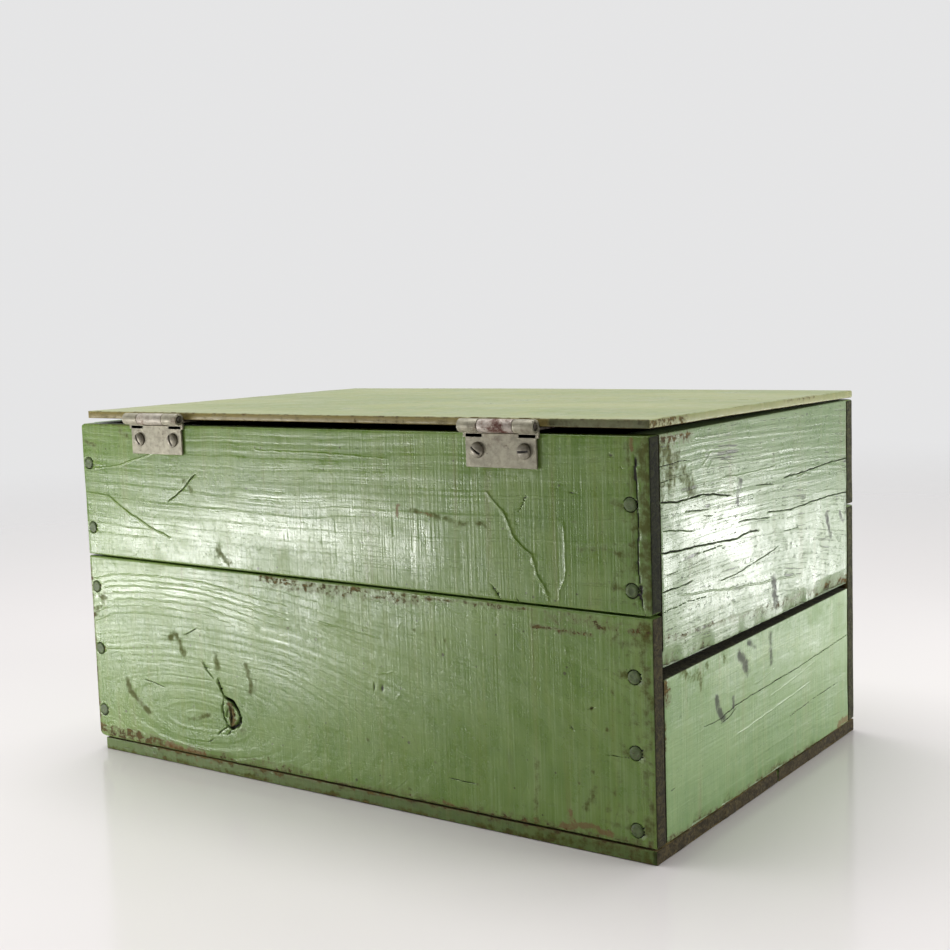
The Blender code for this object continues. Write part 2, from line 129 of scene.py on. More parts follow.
def near(squares, line, reach):
    """The vertices within reach of a line of points, each with its distance from it."""
    found = {}
    for a, b in zip(line, line[1:]):
        run = b - a
        length_squared = max(run.length_squared, 1e-14)
        cells = [[int((f(a[i], b[i]) + s * reach) // square) for f, s in ((min, -1), (max, 1))]
                 for i in range(2)]
        for i in range(cells[0][0], cells[0][1] + 1):
            for j in range(cells[1][0], cells[1][1] + 1):
                for v, p in squares.get((i, j), ()):
                    share = max(0.0, min(1.0, (p - a).dot(run) / length_squared))
                    d = (p - a - run * share).length
                    if d < found.get(v, reach):
                        found[v] = d
    return found.items()


noise.seed_set(5)


def natural(points, wander, step, seed):
    """A line through points given in mm that wanders a little, as a split or a stain does."""
    line = [Vector(p) * mm for p in points]
    if len(line) == 1:
        line.append(line[0] + Vector((0.00001, 0)))
    out = []
    for a, b in zip(line, line[1:]):
        count = max(1, round((b - a).length / step))
        for i in range(count):
            p = a.lerp(b, i / count)
            shake = noise.noise_vector(Vector((p.x * 190, p.y * 190, seed)))
            out.append(p + Vector((shake.x, shake.y)) * wander)
    out.append(line[-1])
    return out


def carve(board, side, lines, dark=True, wander=0.5 * mm):
    """Cuts splits and scratches into a side, or raises creases where the depth is below 0.
    Each line is (width in mm, depth in mm, points in mm). The grid is made finer along them.
    Splits are darkened in the crack layer; raised creases are painted pale along their ridges in
    the chalk layer, a painted highlight."""
    drawn = [(width * mm, depth * mm, natural(points, wander, 3 * mm, 0.37 * k))
             for k, (width, depth, points) in enumerate(lines)]
    squares = in_squares(board, side)
    close = set()
    for width, depth, line in drawn:
        close.update(v for v, d in near(squares, line, width + 0.9 * mm))
    edges = [e for e in board.edges if e.verts[0] in close and e.verts[1] in close]
    bmesh.ops.subdivide_edges(board, edges=edges, cuts=2, use_grid_fill=True)
    board.normal_update()
    squares = in_squares(board, side)
    axis = "xyz".index(side[0])
    # raised creases go into the chalk layer: a painted highlight along each ridge
    mark = board.verts.layers.float["crack_and_shade" if dark else "chalk_and_sheen"]
    for width, depth, line in drawn:
        for v, d in near(squares, line, width):
            wide = width * (0.62 + 0.38 * noise.noise(v.co * 130))
            share = max(0.0, 1 - d / wide)
            taper = min(1.0, 6 * min((flat(v.co, side) - line[0]).length,
                                     (flat(v.co, side) - line[-1]).length) / 0.02 + 0.25)
            v.co[axis] -= side[1] * depth * min(1.0, 1.5 * share) * taper
            v[mark] = max(v[mark], min(1.0, 2.0 * share) * (taper if dark else 0.6))


def stain(board, side, marks):
    """Soft marks in the board's finish layers: (layer, strength, width in mm, points in mm)."""
    squares = in_squares(board, side)
    for k, (layer, strength, width, points) in enumerate(marks):
        line = natural(points, min(2.0, 0.35 * width) * mm, 5 * mm, 1.3 * k)
        mark = board.verts.layers.float[layer]
        for v, d in near(squares, line, width * mm):
            share = 1 - d / (width * mm)
            v[mark] = max(v[mark], strength * share * share * (3 - 2 * share))


def ragged(board, side, edge, at, reach, depth, seed):
    """Breaks the edge of a side, where the axis named edge is at, in long torn bites."""
    bare = board.verts.layers.float["bare"]
    across = "xyz".index(edge)
    out = "xyz".index(side[0])
    along = 3 - across - out
    for v in board.verts:
        d = abs(v.co[across] - at)
        if d < reach and facing(v, side) > 0.3:
            torn = noise.noise(Vector((v.co[along] * 55, seed, 0)))
            torn += 0.6 * noise.noise(Vector((v.co[along] * 240, seed, 3)))
            share = max(0.0, torn + 0.15) * (1 - d / reach)
            v.co[out] -= side[1] * depth * share
            v[bare] = max(v[bare], min(0.6, 0.9 * share))


def round_corner(board, side, corner, way, radius):
    """Wears a corner of the board's outline round. corner is in mm, way points into the board."""
    first, second = [i for i in range(3) if "xyz"[i] != side[0]]
    centre = Vector((corner[0] * mm + way[0] * radius, corner[1] * mm + way[1] * radius))
    for v in board.verts:
        p = Vector((v.co[first], v.co[second])) - centre
        if p.x * way[0] < 0 and p.y * way[1] < 0 and p.length > radius:
            p = p.normalized() * radius
            v.co[first] = centre.x + p.x
            v.co[second] = centre.y + p.y


def mark_ends(board, grain, inside):
    """Marks the end grain, and the bare side that looks inwards or down."""
    end = board.verts.layers.float["end_grain"]
    bare = board.verts.layers.float["bare"]
    board.normal_update()
    for v in board.verts:
        v[end] = 1.0 if abs(v.normal[grain]) > 0.8 else 0.0
        if facing(v, inside) > 0.6:
            v[bare] = 1.0


def finished(name, shape, body, nodes, material):
    """The finished piece: its mesh and material, what it stands for and what it rides on."""
    mesh = bpy.data.meshes.new(name)
    bmesh.ops.recalc_face_normals(shape, faces=shape.faces[:])
    for face in shape.faces:
        face.smooth = True
    shape.to_mesh(mesh)
    shape.free()
    piece = bpy.data.objects.new(name, mesh)
    bpy.context.scene.collection.objects.link(piece)
    mesh.materials.append(material)
    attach(piece, body)
    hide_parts(*nodes)
    return piece


class Amount:
    """A number or colour that varies over a surface: a socket, whose arithmetic adds Math nodes."""

    def __init__(self, finish, socket):
        self.finish = finish
        self.socket = socket

    def math(self, operation, first, second):
        return self.finish.node("Math", {"operation": operation}, {0: first, 1: second})

    def __add__(self, other):
        return self.math("ADD", self, other)

    def __radd__(self, other):
        return self.math("ADD", other, self)

    def __sub__(self, other):
        return self.math("SUBTRACT", self, other)

    def __rsub__(self, other):
        return self.math("SUBTRACT", other, self)

    def __mul__(self, other):
        return self.math("MULTIPLY", self, other)

    def __rmul__(self, other):
        return self.math("MULTIPLY", other, self)

    def within(self, low, high):
        """0 at low and 1 at high, and smooth between. High may be the smaller."""
        return self.finish.node("MapRange", {"interpolation_type": "SMOOTHSTEP"},
                                {"Value": self, "From Min": low, "From Max": high})

    def most(self, other):
        return self.math("MAXIMUM", self, other)

    def ridge(self, at, width):
        """1 along the lines where this amount is at, falling to 0 at width to either side."""
        apart = self.finish.node("Math", {"operation": "ABSOLUTE"}, {0: self - at})
        return apart.within(width, width * 0.3)


class Finish:
    """The nodes of a material, or of the world around the box, under construction."""

    def __init__(self, owner, coordinates="Object"):
        owner.use_nodes = True
        self.owner = owner
        self.tree = owner.node_tree
        self.tree.nodes.clear()
        self.place = self.node("TexCoord", output=coordinates)

    def node(self, kind, settings=None, sockets=None, output=0):
        """Adds any node: its type, its settings, then the values or links of its sockets."""
        made = self.tree.nodes.new("ShaderNode" + kind)
        for name, value in (settings or {}).items():
            setattr(made, name, value)
        for key, value in (sockets or {}).items():
            if isinstance(value, Amount):
                self.tree.links.new(value.socket, made.inputs[key])
            else:
                made.inputs[key].default_value = value
        return Amount(self, made.outputs[output] if made.outputs else None)

    def scaled(self, scale, shift):
        """Object coordinates, scaled and shifted on each axis."""
        return self.node("Mapping", {}, {"Vector": self.place, "Scale": scale, "Location": shift})

    def clouds(self, scale, detail, roughness, shift, distortion=0.0):
        """Noise with this many features a metre on each axis."""
        return self.node("TexNoise", {}, {
            "Vector": self.scaled(scale, shift), "Scale": 1.0, "Detail": detail,
            "Roughness": roughness, "Distortion": distortion}, output="Fac")

    def dots(self, scale, size, share, shift):
        """Specks in a share of the cells of this scale."""
        where = self.scaled(scale, shift)
        cell = self.node("TexVoronoi", {}, {"Vector": where, "Scale": 1.0}, "Distance")
        tint = self.node("TexVoronoi", {}, {"Vector": where, "Scale": 1.0}, "Color")
        pick = self.node("SeparateColor", {}, {0: tint}, output="Red")
        return cell.within(size, size * 0.45) * pick.within(share, share * 0.8)

    def layer(self, name):
        """What the piece's own layer of that name says."""
        return self.node("Attribute", {"attribute_name": name}, output="Fac")

    def blend(self, share, under, over):
        """Colour: over where share is 1, and under where it is 0."""
        under = under if isinstance(under, Amount) else (*under, 1)
        over = over if isinstance(over, Amount) else (*over, 1)
        return self.node("Mix", {"data_type": "RGBA"}, {0: share, 6: under, 7: over}, output=2)

    def complete(self, colour, roughness, height, depth, **steady):
        """Joins the surface up: height is a share of depth, in metres."""
        bump = self.node("Bump", {}, {"Strength": 1.0, "Distance": depth, "Height": height},
                         "Normal")
        sockets = {"Base Color": colour, "Roughness": roughness, "Normal": bump}
        sockets.update({name.replace("_", " "): value for name, value in steady.items()})
        surface = self.node("BsdfPrincipled", {}, sockets, output="BSDF")
        self.node("OutputMaterial", {}, {"Surface": surface})
        return self.owner


def paint_on_wood(name, grain, seed, tone, pale, rings, saw=1.0, checks=0.3, end_tone=None,
                  rough=0.32, shine=0.45, rim_tone=None):
    """Old green house paint on sawn softwood. grain is the axis of the grain, and pale the chalky
    paint, which the chalk layer also lays on as a painted sheen and painted highlights. rings is
    the centre of the growth rings, how far they stretch on each axis, and how many there are to a
    metre. saw and checks say how much the saw's lines and fine splits show."""
    f = Finish(bpy.data.materials.new(name))
    along = "xyz".index(grain)
    shift = (seed, seed * 1.7, seed * 2.3)

    def grained(long, cross):
        return tuple(long if i == along else cross for i in range(3))

    fibre = f.clouds(grained(11, 520), 4, 0.6, shift, 0.3)
    hair = f.clouds(grained(34, 1500), 2, 0.5, shift)
    saw_lines = f.clouds(grained(1050, 20), 2, 0.55, shift)
    broad = f.clouds(grained(7, 16), 3, 0.55, shift, 0.4)
    patch = f.clouds((60, 60, 60), 4, 0.6, shift)
    blot = f.clouds((270, 270, 270), 5, 0.66, shift)
    grit = f.clouds((900, 900, 900), 3, 0.6, shift)
    drip = f.clouds((170, 170, 10), 4, 0.6, shift, 0.2)

    centre, stretch, count = rings
    out = f.node("VectorMath", {"operation": "SUBTRACT"}, {0: f.place, 1: centre})
    out = f.node("VectorMath", {"operation": "MULTIPLY"}, {0: out, 1: stretch})
    reach = f.node("VectorMath", {"operation": "LENGTH"}, {0: out}, output="Value")
    down_log = f.node("SeparateXYZ", {}, {0: f.place}, output=grain.upper())
    where = f.node("CombineXYZ", {}, {
        0: reach * count + broad * 2.4 + patch * 0.5, 1: down_log * 5.0, 2: seed})
    ring = f.node("TexNoise", {}, {"Vector": where, "Scale": 1.0, "Detail": 1.5,
                                   "Roughness": 0.45}, output="Fac")
    late_wood = ring.within(0.34, 0.66)
    check = ring.ridge(0.5, 0.022) * patch.within(0.50, 0.66) * drip.within(0.38, 0.55)
    check = check.most(fibre.ridge(0.5, 0.010) * blot.within(0.50, 0.62)) * checks

    bare_at = f.layer("bare")
    crack_and_shade = f.layer("crack_and_shade")
    grime_and_shade = f.layer("grime_and_shade")
    chalk_and_sheen = f.layer("chalk_and_sheen")
    scuff = f.layer("scuff")
    rust = f.layer("rust")
    end = f.layer("end_grain")

    # bare wood, grey-brown along its fibres
    wood = f.blend(fibre.within(0.35, 0.65), (0.068, 0.049, 0.010), (0.160, 0.115, 0.030))
    wood = f.blend(patch.within(0.42, 0.75) * 0.7, wood, (0.050, 0.036, 0.020))
    wood = f.blend(late_wood * 0.3, wood, (0.105, 0.068, 0.026))

    # the paint: it drifts in tone, lies pale on the saw's ridges and dirty in the hollows
    deep = tuple(c * k for c, k in zip(tone, (0.66, 0.76, 0.58)))
    worn_tone = tuple(c * k for c, k in zip(tone, (1.22, 1.04, 1.05)))
    paint = f.blend((broad * 0.6 + patch * 0.4).within(0.36, 0.66), deep, tone)
    paint = f.blend(drip.within(0.46, 0.72) * 0.5, paint, worn_tone)
    paint = f.blend(saw_lines.within(0.44, 0.70) * 0.20 * saw, paint, pale)
    paint = f.blend(saw_lines.within(0.52, 0.30) * 0.22 * saw, paint, deep)
    paint = f.blend(late_wood * 0.10, paint, pale)
    # painted sheen and highlights: the chalk layer paints the paint pale where glare falls and along
    # raised lines, over some real chalky weathering
    chalk_and_sheen_share = (chalk_and_sheen + (blot - 0.5) * 2.2 + (hair - 0.5) * 1.0 + (patch - 0.5) * 1.2)
    paint = f.blend(chalk_and_sheen_share.within(0.35, 1.05) * 0.55, paint, pale)
    paint = f.blend(drip.within(0.60, 0.74) * 0.30, paint, (0.110, 0.100, 0.040))
    paint = f.blend(blot.within(0.62, 0.78) * 0.55, paint, deep)
    specks = f.dots((88, 88, 88), 0.10, 0.15, shift)
    fine_specks = f.dots((260, 260, 260), 0.18, 0.09, shift)
    paint = f.blend(specks.most(fine_specks) * 0.8, paint, (0.034, 0.026, 0.004))
    # the grime layer darkens the paint: real dirt, and in places painted shade, as at the boards' near
    # corner, along their -X ends and around nail dents
    smudge_and_shade = (grime_and_shade + (blot - 0.5) * 2.8 + (patch - 0.5) * 1.6 - 0.35).within(0.0, 1.0)
    smudge_and_shade = smudge_and_shade * (grime_and_shade * 2.5).within(0.0, 1.0)
    paint = f.blend(smudge_and_shade * 0.86, paint, (0.066, 0.068, 0.006))
    rub = (scuff + (blot - 0.5) * 2.6 + (drip - 0.5) * 2.0 - 0.30).within(0.0, 1.0)
    paint = f.blend(rub * (scuff * 1.5).within(0.0, 1.0) * 0.80, paint, (0.042, 0.035, 0.040))
    if rim_tone:
        paint = f.blend(f.layer("rim"), paint, rim_tone)

    # where the paint is thin, and where it is gone
    break_up = (blot - 0.5) * 2.6 + (fibre - 0.5) * 1.1 + (grit - 0.5) * 0.8
    thin = (bare_at + break_up * 0.8).within(0.15, 0.95) * (bare_at * 4).within(0.0, 1.0)
    gone = (bare_at * 1.2 + break_up).within(0.78, 0.96)
    colour = f.blend(thin * 0.85, paint, (0.100, 0.076, 0.018))
    colour = f.blend(gone, colour, wood)
    warm = (rust + (blot - 0.5) * 1.8 + (grit - 0.5) * 0.6).within(0.42, 0.80)
    colour = f.blend(warm * 0.8, colour, (0.165, 0.092, 0.024))

    # end grain and splits; the end grain tone also paints the shade in the slot between the left
    # end boards and at the upper back board's end
    end_tone = end_tone or deep
    pores = f.clouds((1100, 1100, 1100), 3, 0.7, shift)
    growth = f.clouds((210, 210, 330), 3, 0.6, shift, 1.6)
    cut = f.blend((growth * 0.65 + pores * 0.35).within(0.40, 0.64), end_tone,
                  tuple(c * 3.4 for c in end_tone))
    colour = f.blend(end, colour, cut)
    # splits go near black; the crack layer also holds painted shade, on the lid's back edge near the
    # corner and on the screw heads
    colour = f.blend(check.most(crack_and_shade.within(0.10, 0.70)), colour, (0.012, 0.011, 0.005))

    dullness = rough + (patch - 0.5) * 0.5 + (blot - 0.5) * 0.25
    dullness = dullness + smudge_and_shade * 0.45 + rub * scuff * 0.3
    dullness = dullness + gone * 0.45 + thin * 0.2 + warm * 0.2 + end * 0.8 + crack_and_shade * 0.3 - chalk_and_sheen * 0.12
    fibre_rise = 0.14 if saw < 0.9 else 0.06  # saw lines hide most of the fibres
    height = (late_wood * 0.08 + fibre * fibre_rise + hair * 0.03 + saw_lines * 0.13 * saw
              + patch * 0.20 + blot * 0.07 - gone * 0.20 - check * 0.25 - crack_and_shade * 0.3)
    height = height + end * (growth * 0.5 + pores * 0.2)
    return f.complete(colour, dullness, height, 1.1 * mm, Specular_IOR_Level=shine)


def painted_piece(board, node, body, slot, *paint, **looks):
    """The finished board that stands for a node, in a paint of its own."""
    finished(f"worn_{node}", board, body, [node],
             paint_on_wood(f"paint_{node}", *paint, **looks))


box_green = (0.160, 0.252, 0.045)
pale_green = (0.330, 0.430, 0.215)
for node, seed, outer in (("bottom_board_back", 3.1, back), ("bottom_board_front", 8.4, front)):
    low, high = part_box(node)
    board = sawn_board(node, (150, 50, 5), 0.45 * mm, seed, 0, 0.5 * mm)
    mark_ends(board, 0, under)
    bare = board.verts.layers.float["bare"]
    for v in board.verts:
        if facing(v, top) > 0.6:
            v[bare] = 1.0
    stain(board, outer, [
        ("bare", 0.60, 4, [(-175, 6.5), (-60, 7), (60, 6.5), (150, 7)]),
        ("grime_and_shade", 0.9, 3, [(-180, 1.5), (-60, 1), (60, 1.5), (174, 1)]),
        ("grime_and_shade", 0.8, 5, [(-180, 4), (-120, 3)]),
        ("bare", 0.45, 3, [(-180, 0.6), (-40, 0.4), (120, 0.6), (176, 0.5)]),
        ("rust", 0.6, 3, [(92, 5), (104, 4)]),
        ("grime_and_shade", 0.8, 4, [(-183, 3), (-160, 4)])])
    ragged(board, left, "z", low.z, 6 * mm, 2.0 * mm, seed)
    ragged(board, left, "z", high.z, 4 * mm, 1.6 * mm, seed + 5)
    painted_piece(board, node, "box", "bottom_board", "x", seed, (0.105, 0.160, 0.026),
                  (0.155, 0.205, 0.060), ((0, 0, -0.06), (0.1, 1, 1), 300),
                  end_tone=(0.024, 0.018, 0.007), rough=0.5)


# ---------------------------------------------------------------- end boards
# Thick softwood boards, two at each end, that the long boards are nailed to. The left pair has
# opened to a wedge-shaped slot and has split along its grain; paint lies thick over all of it.

def unpainted_shaded_slot(board, way):
    """Marks the edge along the slot, above (way 1) or below, as end grain: unpainted, dirty wood,
    taken darker still as painted shade inside the slot.
    """
    end = board.verts.layers.float["end_grain"]
    for v in board.verts:
        if facing(v, ("z", way)) > 0.6:
            v[end] = 1.0


board = sawn_board("left_end_upper", (5, 118, 150), 0.7 * mm, 11.3, 1)
carve(board, left, [
    (0.45, 1.4, [(121, 160.4), (96, 158.6), (74.6, 158.9), (59, 157.2), (43, 154.9)]),
    (0.36, 0.9, [(-19, 156.3), (-45, 156.5), (-61, 157), (-79, 157.7), (-113, 157.6)]),
    (0.26, 0.6, [(15, 156.1), (4, 155.6), (-7, 154.5)]),
    (0.46, 1.6, [(121, 138.6), (97, 136.7), (63.5, 135.1), (38.5, 133.3), (23.5, 134.4),
                 (12, 133.5)]),
    (0.30, 0.8, [(0.8, 141.5), (-25, 139), (-55.7, 139.4), (-79, 139.6), (-113, 138.4)]),
    (0.28, 0.6, [(34.6, 141.2), (19.5, 140.3), (-1, 138.5)]),
    (0.32, 0.8, [(121, 120.4), (107, 120.6), (91, 120.4), (84, 121)]),
    (0.20, 0.4, [(80.6, 132.7), (53, 132.3)]),
    (0.24, 0.5, [(90.5, 153), (66.4, 151.3)]),
    (0.20, 0.4, [(71.6, 148.9), (63, 147.8)]),
    (0.24, 0.5, [(112, 147.4), (102.7, 146.5), (81.8, 143.5)]),
    (0.20, 0.4, [(57, 116.1), (39, 116.2), (4.4, 120), (-12, 122.5)]),
    (0.18, 0.3, [(-18.4, 129.2), (-37.6, 128.2)]),
    (0.18, 0.3, [(118, 175.5), (96, 176.5), (84, 175.6)]),
    (0.18, 0.3, [(117, 168.6), (101, 169.2)]),
    (0.16, 0.3, [(110, 127.3), (92, 127.8)]),
    (0.18, 0.3, [(116, 111.5), (88, 112.2), (70, 111.4)])])
# raised creases, painted pale along their ridges as painted highlights
carve(board, left, [
    (0.8, -0.30, [(78.6, 185.3), (44, 184.6)]),
    (0.8, -0.25, [(52, 163.9), (20, 163.1), (-9, 163.3)]),
    (0.8, -0.22, [(97, 116.7), (40, 110), (-33, 103.7)]),
    (0.7, -0.30, [(67, 169.8), (62, 173.9), (52, 173.6), (45, 170.5)]),
    (0.7, -0.25, [(72, 172), (64, 177), (50, 176.6), (40, 172)]),
    (0.9, -0.35, [(-36, 154.6), (-46, 155.4), (-54, 154.2)])], dark=False)
stain(board, left, [
    # painted sheen: these pale patches centre on the glare across this board
    ("chalk_and_sheen", 1.0, 30, [(78, 146), (45, 142), (30, 132)]),
    ("chalk_and_sheen", 0.8, 16, [(118, 142), (110, 128)]),
    ("chalk_and_sheen", 0.6, 18, [(80, 112), (20, 112)]),
    ("chalk_and_sheen", 0.5, 12, [(70, 178), (40, 176)]),
    ("scuff", 1.1, 5, [(-76.4, 129), (-82, 118)]),
    ("scuff", 1.0, 4, [(-95.8, 128.4), (-100.7, 123)]),
    ("scuff", 1.1, 5, [(32, 160), (36, 151)]),
    ("scuff", 1.2, 7, [(-5.3, 106), (-7, 93)]),
    ("scuff", 0.9, 5, [(-103.4, 137), (-106, 125)]),
    ("grime_and_shade", 0.9, 13, [(114, 182), (98, 178), (112, 166)]),
    ("grime_and_shade", 0.8, 9, [(92, 172), (84, 160)]),
    ("grime_and_shade", 0.7, 5, [(120, 148), (119, 128)]),
    ("grime_and_shade", 0.9, 1.6, [(0.4, 119.8)]), ("grime_and_shade", 0.9, 1.5, [(-89.7, 99.2)]),
    ("grime_and_shade", 0.8, 1.5, [(-14.6, 182.4)]), ("grime_and_shade", 1.0, 1.8, [(-37, 155)]),
    ("bare", 0.75, 5, [(118, 188), (85, 187)]),
    ("bare", 0.9, 5, [(-96, 89.5), (-113, 89)]),
    ("rust", 0.7, 4, [(-98, 90), (-108, 89.5)]),
    ("bare", 0.5, 4, [(118, 100), (40, 95), (-60, 91)])])
ragged(board, left, "z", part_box("left_end_upper")[0].z, 9 * mm, 3.0 * mm, 4.4)
mark_ends(board, 1, right)
unpainted_shaded_slot(board, -1)
painted_piece(board, "left_end_upper", "box", "painted_board", "y", 11.3, (0.168, 0.255, 0.098),
              (0.330, 0.400, 0.250), ((-0.183, 0.075, 0.060), (0.4, 0.25, 1.0), 330),
              saw=0.5, checks=0.8, rough=0.33, shine=0.6, end_tone=(0.020, 0.019, 0.007))

board = sawn_board("left_end_lower", (5, 110, 105), 0.7 * mm, 15.9, 1)
carve(board, left, [
    (0.24, 0.7, [(76, 50.7), (58, 50.2), (44, 52.5), (14, 53.6), (-32, 54.4), (-80, 56.4),
                 (-116, 58.5)]),
    (0.22, 0.5, [(58.4, 47.9), (50, 48.8), (40, 51.4)]),
    (0.20, 0.4, [(114, 58), (113.5, 46)]),
    (0.16, 0.3, [(110, 30), (104, 30.6)]),
    (0.16, 0.3, [(-20, 31), (-60, 33), (-90, 33.4)])])
# raised creases, painted pale along their ridges as painted highlights
carve(board, left, [
    (0.9, -0.35, [(18.4, 58.3), (8, 59), (-4, 60.7)]),
    (0.8, -0.22, [(0.9, 47.6), (-30, 50), (-57.4, 52.9)]),
    (0.8, -0.20, [(40, 38), (0, 40), (-50, 43)])], dark=False)
stain(board, left, [
    ("scuff", 1.3, 4, [(62, 61.3), (60, 55.5), (54, 49.5)]),
    ("scuff", 1.2, 2.5, [(43, 57.2), (44, 52.5)]),
    ("scuff", 1.1, 6, [(37, 77), (31, 71), (27, 66)]),
    ("scuff", 1.1, 5, [(0, 79), (-2, 65)]),
    ("scuff", 1.0, 4, [(26, 81), (18, 76)]),
    ("grime_and_shade", 1.0, 3, [(78.6, 80), (78, 69.5)]),
    ("grime_and_shade", 1.0, 3, [(55, 81), (53, 77)]),
    ("grime_and_shade", 0.8, 6, [(96, 82), (84, 76), (70, 78)]),
    ("grime_and_shade", 1.0, 1.5, [(8, 33.6)]), ("grime_and_shade", 1.0, 1.4, [(77.5, 33)]),
    ("bare", 0.85, 6, [(113, 81), (110, 72)]),
    ("bare", 1.0, 2.2, [(113.7, 62), (114.2, 50)]),
    ("bare", 0.6, 3.5, [(118, 8), (41, 8), (-56, 8)]),
    ("rust", 0.9, 5, [(-91, 8.5), (-105, 10), (-116, 9)]),
    # painted sheen: a pale band across the board
    ("chalk_and_sheen", 0.6, 12, [(60, 70), (0, 72), (-60, 66)])])
ragged(board, left, "z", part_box("left_end_lower")[0].z, 6 * mm, 1.8 * mm, 7.7)
mark_ends(board, 1, right)
unpainted_shaded_slot(board, 1)
painted_piece(board, "left_end_lower", "box", "painted_board", "y", 15.9, (0.198, 0.308, 0.118),
              pale_green, ((-0.183, 0.02, -0.045), (0.4, 0.30, 1.0), 150),
              saw=0.6, checks=0.15, rough=0.46, shine=0.5, end_tone=(0.020, 0.019, 0.007))

for node, seed, splits in (
        ("right_end_upper", 21.2, [(0.4, 1.2, [(-110, 150), (-40, 152), (20, 149)]),
                                   (0.35, 0.9, [(40, 120), (80, 122), (121, 124)])]),
        ("right_end_lower", 26.6, [(0.4, 1.1, [(-112, 40), (-30, 43), (15, 41)]),
                                   (0.22, 0.6, [(60, 66), (100, 64)])])):
    low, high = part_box(node)
    foot, head = low.z / mm, high.z / mm
    board = sawn_board(node, (5, 100, 110), 0.7 * mm, seed, 1)
    carve(board, right, splits)
    stain(board, right, [
        ("scuff", 1.1, 6, [(-60, head - 10), (-58, head - 26)]),
        ("scuff", 1.0, 4, [(30, head - 6), (33, head - 15)]),
        ("grime_and_shade", 0.9, 10, [(104, foot + 12), (108, foot + 40)]),
        ("grime_and_shade", 0.9, 4, [(20, foot + 22), (14, foot + 14)]),
        ("bare", 0.8, 4, [(-112, foot + 2), (0, foot + 1), (110, foot + 2)]),
        ("bare", 0.8, 5, [(112, head - 3), (96, head - 2)]),
        ("chalk_and_sheen", 0.8, 20, [(-60, foot + 40), (50, foot + 46)])])
    ragged(board, right, "z", low.z, 6 * mm, 1.6 * mm, seed)
    mark_ends(board, 1, left)
    painted_piece(board, node, "box", "painted_board", "y", seed, (0.180, 0.285, 0.110), pale_green,
                  ((0.183, -0.03, low.z - 0.05), (0.4, 0.30, 1.0), 300),
                  saw=0.5, checks=0.5, rough=0.44)


# ---------------------------------------------------------------- back boards
# The two boards of the wall under the hinges, nailed over the ends of the end boards. The saw left
# fine upright lines that show through the paint; the lower board has a knot with a split above it.

def nail_rings(board_name):
    """The dents around the heads of a wall board's nails, as lines to carve, and their places."""
    rings = []
    places = []
    for name in sorted(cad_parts):
        if name.startswith("nail_" + board_name):
            low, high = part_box(name)
            x, z = (low.x + high.x) / 2 / mm, (low.z + high.z) / 2 / mm
            places.append((x, z))
            turn = [math.radians(30 * k) for k in range(13)]
            rings.append((0.40, 0.5, [(x + 3.3 * math.cos(a), z + 3.3 * math.sin(a))
                                      for a in turn]))
    return rings, places


# old brushed-over relief: short upright ridges with no pattern to them
ghost_strokes = []
for k in range(30):
    x = 92 - 5.9 * k + 3.6 * math.sin(2.3 * k)
    z = 134 + 9 * math.sin(1.7 * k) * math.sin(0.31 * k)
    tall = 3 + 7 * abs(math.sin(3.1 * k + 0.4))
    ghost_strokes.append((0.45, 0.12, [(x, z - tall), (x + 0.5 * math.sin(k), z + tall)]))

rings, nails = nail_rings("back_upper")
board = sawn_board("back_board_upper", (235, 4, 96), 1.0 * mm, 31.7, 0)
carve(board, back, rings, wander=0.15 * mm)
carve(board, back, [
    (0.40, 0.7, [(114.5, 148.1), (103.3, 154.9), (97.5, 160.1), (92.3, 164)]),
    (0.34, 0.9, [(-98.6, 119.2), (-103.7, 112.4)]),
    (0.50, 0.9, [(-87, 113.7), (-88.5, 111.8)]),
    (0.70, 0.9, [(-112.8, 113.9), (-113.8, 111.8)]),
    (0.26, 0.5, [(-119.8, 162.6), (-117.5, 158.2), (-115, 154)]),
    (0.30, 0.5, [(-113.6, 150.1), (-114.1, 148.3)]),
    (0.60, 0.5, [(-142.5, 164), (-144.8, 163.8)]),
    (0.40, 0.4, [(-163.2, 182), (-163.9, 180.4)]),
    (0.34, 0.4, [(-168.2, 177), (-169.4, 175.2)]),
    (0.62, 0.5, [(-175.4, 182), (-176.5, 166), (-176.9, 152.7), (-176, 135.1), (-176.7, 126.7),
                 (-178.3, 114.3)]),
    ])
